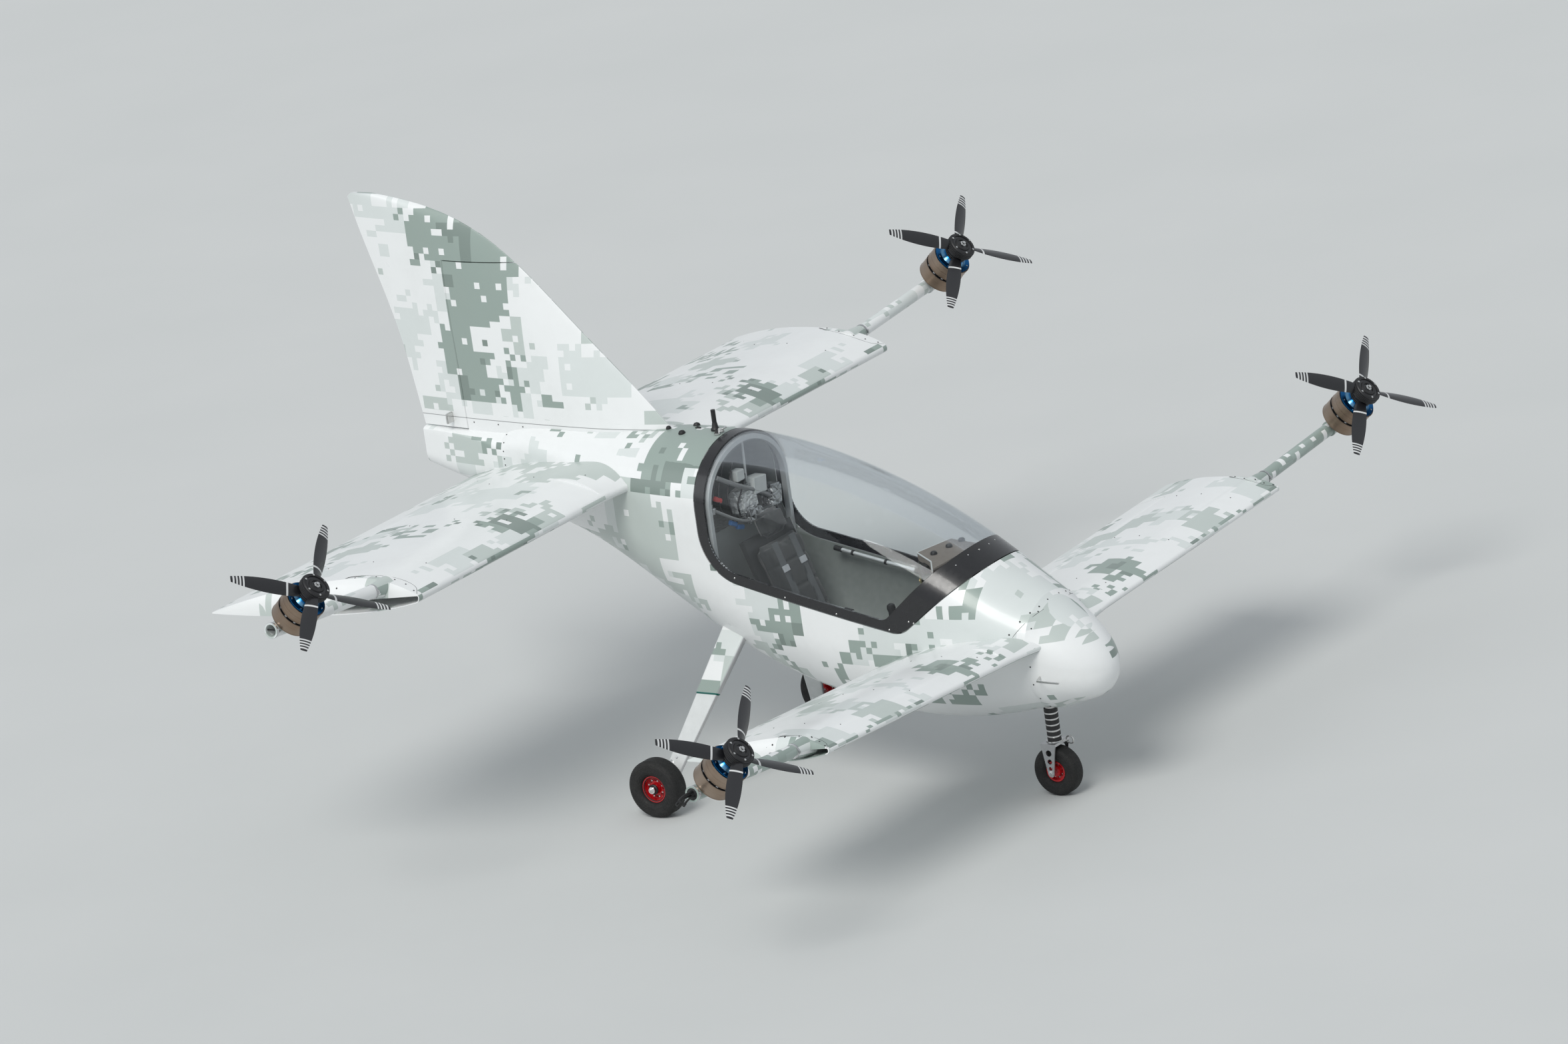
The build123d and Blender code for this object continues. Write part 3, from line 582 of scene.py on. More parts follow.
for end in ENDS:
    for side, sign in SIDES.items():
        point, axis = joint(f"{end}_prop_low_{side}_spin")
        skin = wing_paint(f"camo_{end}_{side}", {"front": 11.0, "rear": 37.0}[end], sign)
        dress(f"{end}_wing_{side}", skin)
        dress(f"{end}_elevon_{side}", skin)
        dress(f"{end}_boom_{side}", boom_paint(f"boom_{end}_{side}", 7.0, end == "front"))
        dress(f"{end}_motor_{side}", motor_metal(f"motor_{end}_{side}", point, axis))
        dress(f"{end}_flange_{side}", flange_metal(f"flange_{end}_{side}", point, axis))
        for level in ("low", "top"):
            dress(f"{end}_prop_{level}_{side}", blade_black(f"prop_{end}_{level}_{side}", point, axis))


# Mesh helpers
def turned(angle, axis):
    return Matrix.Rotation(angle, 3, axis)


def around(count, start=0.0):
    """Angles evenly spaced round a full turn."""
    return [2 * pi * (k + start) / count for k in range(count)]


def basis(axis):
    axis = Vector(axis).normalized()
    other = Vector((0, 0, 1)) if abs(axis.z) < 0.9 else Vector((1, 0, 0))
    u = axis.cross(other).normalized()
    return u, axis.cross(u).normalized(), axis


def spokes(axis, count, start=0.0):
    """Directions square to an axis, evenly spaced round it."""
    u, v, _ = basis(axis)
    return [u * cos(a) + v * sin(a) for a in around(count, start)]


def shifted(profile, radius, height):
    return [(radius + r, height + h) for r, h in profile]


def collar(inner, outer, foot, crown):
    """Profile of a ring: its radii, and half its height at the inner and the outer one."""
    return [(inner, -foot), (outer, -crown), (outer, crown), (inner, foot)]


def bridge(bm, loops):
    """Faces between each loop of points and the next, where a loop may be one point."""
    for a, b in zip(loops, loops[1:]):
        steps = max(len(a), len(b))
        for i in range(steps):
            j = (i + 1) % steps
            corners = (a[i % len(a)], a[j % len(a)], b[j % len(b)], b[i % len(b)])
            bm.faces.new(list(dict.fromkeys(corners)))


def lathe(bm, origin, axis, profile, steps=24):
    """Turns a profile of radius and height about an axis, and closes it."""
    w, outs = basis(axis)[2], spokes(axis, steps)
    if profile[0][0] > 0 and profile[-1][0] == 0:
        profile = [(0, profile[0][1])] + list(profile)
    loops = []
    for radius, height in profile:
        centre = origin + w * height
        if radius == 0:
            loops.append([bm.verts.new(centre)])
            continue
        loops.append([bm.verts.new(centre + out * radius) for out in outs])
    bridge(bm, loops + loops[:1] if profile[0][0] > 0 else loops)


def tube(bm, points, radius, sides=10):
    """A round bar through the points, closed at its ends."""
    loops = []
    u = basis(points[1] - points[0])[0]
    for i, p in enumerate(points):
        run = (points[min(i + 1, len(points) - 1)] - points[max(i - 1, 0)]).normalized()
        u = (u - run * u.dot(run)).normalized()
        v = run.cross(u)
        outs = [u * cos(a) + v * sin(a) for a in around(sides)]
        loops.append([bm.verts.new(p + out * radius) for out in outs])
    bridge(bm, loops)
    bm.faces.new(loops[0][::-1])
    bm.faces.new(loops[-1])


def slab(bm, centre, size, turn=None, bevel=0.002):
    """A box with softened edges."""
    made = bmesh.ops.create_cube(bm, size=1.0)["verts"]
    turn = turn or Matrix.Identity(3)
    for v in made:
        v.co = centre + turn @ Vector([c * s for c, s in zip(v.co, size)])
    edges = list(dict.fromkeys(e for v in made for e in v.link_edges))
    bmesh.ops.bevel(bm, geom=edges, offset=bevel, segments=2, affect="EDGES")


def curve(points, steps=6):
    """Points of a smooth line through the given ones."""
    out = []
    for i in range(len(points) - 1):
        p0, p1 = points[max(i - 1, 0)], points[i]
        p2, p3 = points[i + 1], points[min(i + 2, len(points) - 1)]
        for k in range(steps):
            t = k / steps
            bend = (2 * p0 - 5 * p1 + 4 * p2 - p3) * t * t + (3 * p1 - p0 - 3 * p2 + p3) * t ** 3
            out.append(0.5 * (2 * p1 + (p2 - p0) * t + bend))
    return out + [points[-1]]


def screw(bm, point, normal, radius):
    profile = [(radius, 0), (radius, 0.0014), (radius * 0.7, 0.0026), (0, 0.0026)]
    lathe(bm, point - normal * 0.001, normal, profile, 10)


def bolt(bm, point, normal, radius, height):
    """A six-sided head with a softened edge."""
    profile = [(radius, -0.002), (radius, height * 0.8), (radius * 0.75, height), (0, height)]
    lathe(bm, point, normal, profile, 6)


DRAFTS = []


def draft(name, look, slot="bracket_alloy", body="airframe", crease=35):
    """An empty mesh to fill, noted down with what it needs to become a piece."""
    bm = bmesh.new()
    DRAFTS.append((name, bm, look, slot, body, crease))
    return bm


def piece(name, bm, look, slot, body, crease):
    mesh = bpy.data.meshes.new(name)
    bmesh.ops.recalc_face_normals(bm, faces=bm.faces)
    bm.to_mesh(mesh)
    bm.free()
    smooth(mesh)
    o = add_object(name, mesh)
    mesh.materials.append(look)
    split_edges(o, crease)
    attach(o, body)


def surface(*nodes):
    """A search tree over the faces of some nodes."""
    verts, faces = [], []
    for n in nodes:
        mesh = NODES[n].data
        base = len(verts)
        verts += [v.co.copy() for v in mesh.vertices]
        faces += [[base + i for i in p.vertices] for p in mesh.polygons]
    return BVHTree.FromPolygons(verts, faces)


def seen_from(tree, origin, direction):
    """Where a ray meets the surface, with its normal turned back to the ray's start."""
    direction = Vector(direction).normalized()
    point, normal, _, _ = tree.ray_cast(origin, direction)
    if point is not None and normal.dot(direction) > 0:
        normal = -normal
    return point, normal


def from_side(tree, sign, y, z):
    return seen_from(tree, at(sign * 900, y, z), (-sign, 0, 0))


def screws_at(bm, hits, radius):
    for point, normal in hits:
        if point is not None:
            screw(bm, point, normal, radius)


BODY_SKIN = surface("nose_cone", "fuselage", "tail_cone")


def on_deck(x, y):
    return seen_from(BODY_SKIN, at(x, y, 2600), (0, 0, -1))


def off_side(sign, y, rise, middle=700):
    """The skin met on the way in from a side, at an angle up from level about the body's middle."""
    out = Vector((sign * cos(radians(rise)), 0, sin(radians(rise))))
    return seen_from(BODY_SKIN, at(0, y, middle) + out * 1.2, -out)


# Screws round the body: station, first and last angle up from level, and height of the middle
RING_SCREWS = [(-1868, -78, 80, 700), (1085, -60, 66, 1440)]
FIN_SCREWS_HIGH, FIN_SCREWS = 1622, range(240, 1300, 150)
# Access panel in each side of the nose: its seam and its screws, as stations and angles up from level
PANEL_SEAM = [(-1760, 18), (-1800, 30), (-1835, 42), (-1862, 54), (-1880, 66)]
PANEL_SCREWS = [(-1745, 22), (-1782, 31), (-1818, 44), (-1845, 55), (-1862, 66)]
SCREW, SMALL_SCREW = 0.0042, 0.0036
SEAM_RADIUS, SEAM_SINK = 0.0012, 0.0006
# Deck: domes as x, station and radius, foot of the aerial as a profile, and the run of the lead
DOMES = [(-60, 60, 0.017), (60, 60, 0.017), (-12, 170, 0.013)]
MAST_FOOT = [(0.021, -0.02), (0.021, 0.004), (0.015, 0.012), (0.0125, 0.03), (0.0108, 0.034)]
LEAD = [(6, 28), (8, 0), (30, 36), (60, 60)]
MAST_AT, LATCH_AT, PITOT_AT, HORN_AT = (0, -90, 1655), (-26, -120), (-1905, 655), (1420, 1640)


# Screws, seams and deck fittings of the body
def body_fittings():
    dots = draft("body_screws", DULL)
    for station, low, high, middle in RING_SCREWS:
        for sign in (-1, 1):
            rises = [low + (high - low) * i / 8 for i in range(9)]
            screws_at(dots, [off_side(sign, station, rise, middle) for rise in rises], SMALL_SCREW)
    for sign in (-1, 1):
        seam = [off_side(sign, *place) for place in PANEL_SEAM]
        tube(dots, curve([p - n * SEAM_SINK for p, n in seam]), SEAM_RADIUS, 6)
        screws_at(dots, [off_side(sign, *place) for place in PANEL_SCREWS], SCREW)
    fin_skin = surface("fin")
    for sign in (-1, 1):
        screws_at(dots, [from_side(fin_skin, sign, y, FIN_SCREWS_HIGH) for y in FIN_SCREWS], SMALL_SCREW)

    domes = draft("deck_domes", DULL, "black_plastic")
    for x, y, r in DOMES:
        p, n = on_deck(x, y)
        lathe(domes, p - n * 0.002, n, [(r, 0), (r, 0.006), (r * 0.7, 0.014), (0, 0.018)], 20)
    lathe(domes, at(*MAST_AT), (0, 0, 1), MAST_FOOT, 20)

    latch = draft("canopy_latch", STEEL)
    p, n = on_deck(*LATCH_AT)
    face = n.to_track_quat("Z", "Y").to_matrix()
    bar = p + n * 0.02 + Vector((0, -0.03, 0))
    slab(latch, p + n * 0.004, (0.026, 0.07, 0.008), face)
    slab(latch, p + n * 0.014 + Vector((0, -0.022, 0)), (0.012, 0.03, 0.02), None, 0.003)
    tube(latch, [bar - Vector((0.02, 0, 0)), bar + Vector((0.03, 0, 0))], 0.004)

    lead = draft("dome_lead", DULL, "black_plastic")
    lift = Vector((0, 0, 0.003))
    tube(lead, curve([on_deck(x, y)[0] + lift for x, y in LEAD]), 0.003, 8)

    pitot = draft("pitot_tube", STEEL)
    p, n = from_side(surface("nose_cone"), -1, *PITOT_AT)
    knee = p + n * 0.06
    bend = [p - n * 0.01, p + n * 0.05, knee - Vector((0, 0.015, 0)), knee - Vector((0, 0.12, 0))]
    tube(pitot, curve(bend), 0.0045, 10)

    horn = draft("rudder_horn", STEEL, body="rudder")
    p, n = from_side(surface("rudder"), -1, *HORN_AT)
    slab(horn, p + n * 0.022, (0.05, 0.012, 0.05), None, 0.003)
    tube(horn, [p + n * 0.04, p + n * 0.04 + Vector((0, 0, 0.02))], 0.006)


# Wing tips: curved seam and screws of the fairing round each boom, as share of chord and inset
TIP_SEAM = [(0.012, 8), (0.05, 62), (0.12, 88), (0.21, 96), (0.30, 90), (0.38, 66), (0.44, 16)]
TIP_SCREWS = [(0.035, 24), (0.09, 56), (0.15, 72), (0.24, 78), (0.33, 62), (0.40, 24)]
RIB_SHARES, RIB_STEPS = (0.15, 0.4, 0.62), (0, 2, 4)
FULL_CHORD = WINGS["rear"][1]


def tip_fittings(end, side, sign):
    lead, chord, tip, rake, inner, _, _ = WINGS[end]
    tree = surface(f"{end}_wing_{side}")

    def on_top(share, inboard):
        x = tip + rake * share - inboard * chord / FULL_CHORD
        return seen_from(tree, at(sign * x, lead + share * chord, 3000), (0, 0, -1))

    line = draft(f"{end}_tip_screws_{side}", DULL)
    hits = [on_top(share, inset) for share, inset in TIP_SEAM]
    tube(line, curve([p - n * SEAM_SINK for p, n in hits if p is not None]), 0.0013, 6)
    screws_at(line, [on_top(share, inset) for share, inset in TIP_SCREWS], SCREW)
    for share in RIB_SHARES:
        insets = [(tip - inner) * (1 - k / 5) * FULL_CHORD / chord for k in RIB_STEPS]
        screws_at(line, [on_top(share, inset) for inset in insets], 0.003)


# Motor pods: radius and height of each hub, and places along the motor's axis from the boom
HUB_TOP, HUB_LOW = (0.068, 0.036), (0.052, 0.034)
HUB_TOP_AT, HUB_LOW_AT, FLANGE_TOP_AT = 0.267, 0.229, 0.191
FLANGE_THICK, CAN_BREAK = 0.008, 0.07
# Profiles as radius and height: two rims on the upper hub from its outside and top, then whole ones
HUB_RIMS = [
    [(-0.002, -0.001), (-0.006, 0.004), (-0.016, 0.005), (-0.018, -0.001)],
    [(-0.028, -0.001), (-0.031, 0.005), (-0.042, 0.005), (-0.044, -0.001)],
]
HUB_NUT = [(0.016, -0.002), (0.016, 0.008), (0.009, 0.010), (0.009, 0.018), (0, 0.019)]
CAP_SCREW = [(0.0045, -0.001), (0.0045, 0.003), (0.002, 0.0035), (0.002, 0.0015), (0, 0.0015)]
CAN_LIP = collar(0.0950, 0.0972, 0.002, 0.0012)
CAN_LIPS_AT = (-0.140, -0.078, -0.062, 0.0)


def wound(bm, centre, axis, radius, height, count, lip):
    """Raised rings round a hub."""
    pitch = (height - 0.006) / count
    ring = [(-0.004, -0.003), (lip * 0.7, -0.002), (lip, 0.001), (lip * 0.7, 0.004), (-0.004, 0.005)]
    for k in range(count):
        lathe(bm, centre, axis, shifted(ring, radius, -height / 2 + 0.005 + k * pitch), 48)


def hub_fittings(end, side, low, high, axis):
    prop = f"{end}_prop_top_{side}"
    upper = draft(f"{end}_hub_top_{side}", DULL, "black_blade", prop)
    nuts = draft(f"{end}_hub_nuts_{side}", STEEL, body=prop)
    lower = draft(f"{end}_hub_low_{side}", DULL, "black_blade", f"{end}_prop_low_{side}")
    radius, height = HUB_TOP
    lid = height / 2
    wound(upper, high, axis, radius, height, 4, 0.0035)
    for rim in HUB_RIMS:
        lathe(upper, high, axis, shifted(rim, radius, lid), 48)
    for out in spokes(axis, 6):
        bolt(nuts, high + axis * (lid + 0.004) + out * 0.056, axis, 0.0055, 0.005)
    lathe(nuts, high + axis * lid, axis, HUB_NUT, 6)
    wound(lower, low, axis, *HUB_LOW, 3, 0.004)


def can_fittings(end, side, pod, axis):
    """Cap screws round the flange, lips on the cans, and posts in the gap between them."""
    flange_top = pod + axis * FLANGE_TOP_AT
    flange_foot = flange_top - axis * FLANGE_THICK
    heads = draft(f"{end}_flange_screws_{side}", STEEL)
    bronze = motor_metal(f"lips_{end}_{side}", pod, axis)
    cans = draft(f"{end}_can_lips_{side}", bronze, "motor_bronze")
    posts = draft(f"{end}_can_posts_{side}", METAL, "motor_bronze")
    for out in spokes(axis, 8, 0.5):
        lathe(heads, flange_top + out * 0.081, axis, CAP_SCREW, 8)
    for z in CAN_LIPS_AT:
        lathe(cans, flange_foot, axis, shifted(CAN_LIP, 0, z), 64)
    for out in spokes(axis, 12):
        turn = Matrix((out, axis.cross(out), axis)).transposed()
        slab(posts, flange_foot - axis * CAN_BREAK + out * 0.089, (0.008, 0.009, 0.0078), turn, 0.0008)


# Ends of the front booms: a plug, cables as y, z and radius, and their run as way out, spread and drop
BOOM_PLUG = [(0.0278, -0.03), (0.0278, -0.002), (0.024, 0.0), (0, 0.0)]
CABLES = [(0, 0.010, 0.009), (-0.012, -0.008, 0.007), (0.012, -0.008, 0.007)]
CABLE_RUN = [(-0.004, 0, 0), (0.03, 0, 0), (0.07, 0.6, -0.006), (0.095, 0.6, -0.018)]
# Clamp bands: way in from the boom's end for the outer two, and radii of those and the one at the wing
BANDS_AT, BAND_RADIUS, WING_BAND_RADIUS, WING_BAND_OFF = (0.169, 0.006), 0.036, 0.033, 80


def boom_fittings(end, side, sign):
    """Plugs and cables in the front booms, an open end with a cross pin behind, and clamp bands."""
    _, _, tip, _, _, station, height = WINGS[end]
    out = Vector((sign * cos(BOOM_RISE), 0, sin(BOOM_RISE)))
    pod = at(sign * POD_SPAN, station, height)
    far = pod + out * (BOOM_OVERHANG / 1000 / cos(BOOM_RISE))
    plug = draft(f"{end}_boom_plug_{side}", DULL, "black_plastic")
    bands = draft(f"{end}_boom_bands_{side}", METAL)
    if end == "front":
        lathe(plug, far, out, BOOM_PLUG, 32)
        for dy, dz, r in CABLES:
            mouth = far + Vector((0, dy, dz))
            gland = [(r, -0.01), (r, 0.004), (r * 0.6, 0.004), (r * 0.6, -0.002), (0, -0.002)]
            lathe(plug, mouth, out, gland, 16)
            line = [mouth + out * way + Vector((0, dy * spread, drop)) for way, spread, drop in CABLE_RUN]
            tube(plug, curve(line), r * 0.7, 10)
            sleeve = [(r * 0.9, -0.016), (r, -0.012), (r, 0.002), (0, 0.002)]
            lathe(plug, line[-1], line[-1] - line[-2], sleeve, 16)
    else:
        pin, reach = far - out * 0.014, Vector((0, 0.042, 0))
        tube(plug, [pin - reach, pin + reach], 0.0035, 10)
        lathe(plug, far - out * 0.07, out, [(0.028, 0), (0.028, 0.004), (0, 0.004)], 32)
    places = [(far - out * way, BAND_RADIUS) for way in BANDS_AT]
    places.append((pod - out * ((POD_SPAN - tip - WING_BAND_OFF) / 1000), WING_BAND_RADIUS))
    for place, r in places:
        lathe(bands, place, out, collar(r - 0.003, r + 0.0015, 0.005, 0.004), 40)
        bolt(bands, place + Vector((0, -r - 0.004, 0.006)), (0, 0, 1), 0.005, 0.006)
        slab(bands, place + Vector((0, -r - 0.003, 0)), (0.008, 0.012, 0.014), None, 0.001)


# Wheels, axles and gear: profiles as radius and height, and heads on a leg as station, height and radius
AXLE_HIGH = 138
RIM_RING = [(0.0570, 0.0315), (0.0590, 0.0335), (0.0565, 0.0325), (0.0550, 0.0300)]
HUB_RING = [(0.0245, 0.028), (0.0245, 0.036), (0.020, 0.040), (0.0148, 0.040), (0.0148, 0.030)]
AXLE_CAP = [(0.0145, -0.014), (0.017, -0.012), (0.017, -0.006), (0.013, -0.003), (0.008, 0.001),
            (0, 0.0018)]
AXLE_FOOT = [(0.026, -0.002), (0.03, 0), (0.03, 0.004), (0.024, 0.008), (0.0145, 0.008), (0.0145, -0.002)]
LEG_HEADS = [(-26, 190, 0.006), (26, 190, 0.006), (0, 214, 0.014), (-26, 238, 0.006), (26, 238, 0.006)]
HOOK = [(0, 0), (0.01, 0.016), (0.028, 0.019), (0.04, 0.006), (0.036, -0.012), (0.016, -0.014),
        (-0.002, -0.006)]
FORK_COLLAR = [(0.039, -0.001), (0.039, 0.004), (0.0332, 0.004), (0.0332, -0.001)]


def across_wheel(count):
    return [Vector((0, cos(a), sin(a))) for a in around(count, 0.5)]


def wheel_fittings(side, sign):
    centre, _ = joint(f"main_wheel_{side}_spin")
    out = Vector((sign, 0, 0))
    body = f"main_wheel_{side}"
    bolts = draft(f"rim_bolts_{side}", STEEL, body=body)
    ring = draft(f"rim_ring_{side}", DULL, "black_plastic", body)
    cap = draft(f"axle_cap_{side}", STEEL)
    heads = draft(f"leg_bolts_{side}", METAL)
    for face in (out, -out):
        for turn in across_wheel(8):
            bolt(bolts, centre + face * 0.010 + turn * 0.040, face, 0.0052, 0.008)
        lathe(ring, centre, face, RIM_RING, 40)
    lathe(ring, centre, out, HUB_RING, 28)
    lathe(cap, centre + out * 0.056, out, AXLE_CAP, 24)
    lathe(cap, at(sign * 624, 0, AXLE_HIGH), out, AXLE_FOOT, 32)
    for turn in across_wheel(4):
        bolt(cap, at(sign * 598, 0, AXLE_HIGH) + turn * 0.022, -out, 0.005, 0.005)
    leg = surface(f"leg_{side}")
    for y, z, r in LEG_HEADS:
        p, n = from_side(leg, sign, y, z)
        if p is not None:
            lathe(heads, p - n * 0.001, n, [(r, 0), (r, 0.003), (r * 0.8, 0.004), (0, 0.004)], 16)


def nose_fittings():
    centre, _ = joint("nose_wheel_spin")
    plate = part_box("nose_fork")[1].z
    steel = draft("fork_fittings", STEEL, "fork_alloy", "nose_fork")
    washers = draft("strut_washers", STEEL)
    hub = draft("nose_rim_bolts", STEEL, body="nose_wheel")
    hook = Vector((0.035, centre.y - 0.038, plate - 0.006))
    tube(steel, curve([hook + Vector((0, -y, z)) for y, z in HOOK]), 0.004, 10)
    for sign in (-1, 1):
        bolt(steel, centre + Vector((sign * 0.0620, 0, 0)), (sign, 0, 0), 0.0135, 0.006)
    lathe(steel, Vector((0, centre.y, plate)), (0, 0, 1), FORK_COLLAR, 32)
    low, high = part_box("nose_strut")
    axle = Vector(((low.x + high.x) / 2, (low.y + high.y) / 2, 0))
    r = (high.x - low.x) / 2 - 0.0015
    washer = [(0.02, -0.0035), (r, -0.0035), (r + 0.001, 0), (r, 0.0035), (0.02, 0.0035)]
    for k in range(1, 6):
        z = SPRING_BASE + k * SPRING_PITCH - (SPRING_PITCH - SPRING_DISC) / 2
        lathe(washers, axle, (0, 0, 1), shifted(washer, 0, z), 36)
    for face in (-1, 1):
        for turn in across_wheel(8):
            bolt(hub, centre + Vector((face * 0.010, 0, 0)) + turn * 0.031, (face, 0, 0), 0.0038, 0.006)


# Cockpit
FRAME_SCREWS = [(-1290, 912), (-1315, 905), (-1302, 890), (-1180, 868), (-900, 928), (-620, 988),
                (-340, 1060)]
CROWN_SCREWS = (-190, -110, -40, 40, 110, 190)


def canopy_screws():
    bm = draft("frame_screws", STEEL, body="canopy")
    tree = surface("canopy_frame")
    for sign in (-1, 1):
        screws_at(bm, [from_side(tree, sign, y, z) for y, z in FRAME_SCREWS], SCREW)
    for x in CROWN_SCREWS:
        screws_at(bm, [seen_from(tree, at(x, -1530 + abs(x) * 0.22, 2500), (0, 0, -1))], SMALL_SCREW)


SILL_HALF, SILL_REAR, SILL_FRONT = 290, (-500, 1000), (-905, 925)


def cabin_rails():
    """Light tubes along both sills with black ends and clamps."""
    light = draft("sill_tubes", HOOP, "hoop_grey")
    dark = draft("sill_tube_ends", DULL, "black_plastic")
    for sign in (-1, 1):
        a, b = at(sign * SILL_HALF, *SILL_REAR), at(sign * SILL_HALF, *SILL_FRONT)
        run = (b - a).normalized()
        tube(light, [a, b + run * 0.052], 0.009, 14)
        tube(dark, [a - run * 0.04, a], 0.013, 14)
        tube(dark, [b, b + run * 0.04], 0.015, 14)
        for k in (0.15, 0.6):
            lathe(dark, a.lerp(b, k), run, collar(0.0085, 0.013, 0.006, 0.005), 20)


# Console before the seat: corners of its top in plan, going round, and its three heights
CONSOLE_TOP = [(50, -1104), (266, -1147), (230, -1330), (-160, -1330), (-51, -1250)]
CONSOLE_HEIGHTS = (1105, 1076, 1030)
CONSOLE_BOXES = [
    # centre, size, turn about the vertical
    ((150, -1100, 1052), (95, 34, 52), -0.2), ((46, -1130, 1034), (62, 46, 62), 0.5),
    ((-20, -1190, 1052), (70, 34, 44), 0.9),
]
CONSOLE_KNOBS = (40, 150, 240)
KNOB = [(0.016, 0), (0.016, 0.010), (0.012, 0.016), (0, 0.016)]
PLATE_SCREW = [(0.008, 0), (0.008, 0.005), (0.004, 0.007), (0, 0.007)]


def console():
    """Brown-grey block with a pale edge, dark boxes on its face, a khaki plate, a post and a tag."""
    top = draft("console_top", BROWN, "equipment", crease=25)
    edge = draft("console_edge", PALE_BOX, "equipment")
    boxes = draft("console_boxes", DULL, "black_plastic")
    khaki = draft("console_plate", KHAKI, "equipment")
    brass = draft("console_screws", BRASS)
    tag = draft("console_tag", TAG, "equipment")
    high, mid, low = CONSOLE_HEIGHTS
    cx, cy = (sum(values) / len(CONSOLE_TOP) for values in zip(*CONSOLE_TOP))

    def outline(share, z):
        return [top.verts.new(at(cx + (x - cx) * share, cy + (y - cy) * share, z)) for x, y in CONSOLE_TOP]

    loops = [outline(share, z) for share, z in ((0.97, high), (1.0, high - 6), (1.0, mid), (0.94, low))]
    bridge(top, loops)
    top.faces.new(loops[0])
    top.faces.new(loops[-1][::-1])
    corners = [at(x, y, high - 3) for x, y in CONSOLE_TOP]
    tube(edge, [corners[1], corners[0], corners[4], corners[3]], 0.004, 8)
    for place, size, turn in CONSOLE_BOXES:
        slab(boxes, at(*place), Vector(size) / 1000, turned(turn, "Z"), 0.004)
    for x in CONSOLE_KNOBS:
        lathe(boxes, at(x, -1200 - x * 0.1, high - 2), (0, 0, 1), KNOB, 20)
    tube(boxes, [at(60, -1104, low + 10), at(60, -1100, 560)], 0.010, 12)
    face = turned(0.45, "Z")
    slab(khaki, at(68, -1096, 985), (0.062, 0.008, 0.10), face, 0.002)
    for z in (1014, 962):
        lathe(brass, at(66, -1090, z), (-0.43, 0.9, 0), PLATE_SCREW, 12)
    slab(tag, at(118, -1058, 998), (0.026, 0.004, 0.058), face, 0.001)


def arm_tags_and_screens():
    """Red tags on the canopy's hinge arms, and two screens on the instrument panel."""
    tags = draft("arm_tags", TAG, "red_rim", "canopy")
    screens = draft("panel_screens", SCREEN, "equipment")
    for sign in (-1, 1):
        slab(tags, at(sign * 150, -1518, 975), (0.006, 0.03, 0.055), turned(0.3, "Y"), 0.001)
    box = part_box("instrument_panel")
    tilt = turned(radians(24), "X")
    for x in (-0.105, 0.075):
        slab(screens, Vector((x, box[0].y + 0.122, box[1].z - 0.095)), (0.15, 0.012, 0.10), tilt, 0.004)


# Stick grip and its boot, as profiles
GRIP = [(0.014, 0), (0.018, 0.01), (0.016, 0.03), (0.019, 0.05), (0.017, 0.075), (0.021, 0.092),
        (0.018, 0.108), (0.008, 0.115), (0, 0.116)]
BOOT = [(0.05, 0.001), (0.045, 0.012), (0.034, 0.016), (0.036, 0.024), (0.026, 0.03), (0.027, 0.038),
        (0.018, 0.044), (0.010, 0.044)]


def controls():
    grip = draft("stick_grip", DULL, "black_plastic")
    pedals = draft("rudder_pedals", METAL)
    low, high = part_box("control_stick")
    lathe(grip, Vector((0, high.y - 0.012, high.z - 0.09)), (0, 0.12, 1), GRIP, 20)
    lathe(grip, Vector((0, high.y - 0.07, low.z)), (0, 0, 1), BOOT, 28)
    for sign in (-1, 1):
        slab(pedals, at(sign * 85, -1400, 600), (0.085, 0.012, 0.12), turned(-0.35, "X"), 0.003)
        tube(pedals, [at(sign * 85, -1390, 507), at(sign * 85, -1396, 600)], 0.008, 10)


# Behind the seat
REAR_BOXES = [
    # piece, look, slot, bevel, then each box: centre, size, turn about the axis fore and aft
    ("foil_packs", FOIL, "battery_case", 0.010, ((188, -215, 1290), (92, 70, 100), 0.12),
     ((-8, -222, 1262), (84, 60, 84), -0.15), ((55, -200, 1250), (60, 90, 50), 0.3)),
    ("pale_packs", SHEEN, "battery_case", 0.016, ((-10, -200, 1326), (140, 80, 120), -0.12),
     ((-268, -190, 1350), (56, 60, 62), 0.2)),
    ("white_boxes", PALE_BOX, "equipment", 0.003, ((80, -212, 1372), (100, 64, 78), 0.10),
     ((-50, -214, 1456), (60, 46, 50), 0.0)),
    ("blue_plugs", BLUE, "blue_anodised", 0.003, ((-134, -216, 1248), (50, 20, 22), 0.5),
     ((-84, -216, 1216), (50, 20, 22), 0.3), ((220, -214, 1186), (50, 20, 22), 0.9)),
    ("red_plug", TAG, "black_plastic", 0.003, ((-222, -214, 1392), (60, 16, 22), 0.5)),
]
REAR_BARS = [
    # points and radius
    ([(-225, -226, 1500), (-94, -232, 1424), (129, -232, 1308), (198, -226, 1235)], 0.0115),
    ([(132, -228, 1232), (-58, -236, 1236), (-262, -222, 1350)], 0.008),
]
REAR_ROD = [(34, -205, 1590), (28, -205, 1422), (32, -205, 1350)]
LOOMS = [
    [(-141, -195, 1570), (-150, -205, 1545), (-215, -212, 1500), (-240, -212, 1450), (-262, -205, 1380)],
    [(-120, -200, 1560), (-160, -210, 1500), (-205, -216, 1440), (-215, -216, 1370), (-190, -205, 1310)],
    [(-60, -205, 1520), (-110, -215, 1460), (-150, -218, 1380), (-130, -215, 1290), (-120, -205, 1240)],
    [(20, -205, 1440), (-30, -226, 1400), (-90, -228, 1330), (-80, -222, 1270), (-110, -210, 1235)],
    [(150, -210, 1330), (200, -222, 1290), (212, -220, 1230), (218, -212, 1190)],
]


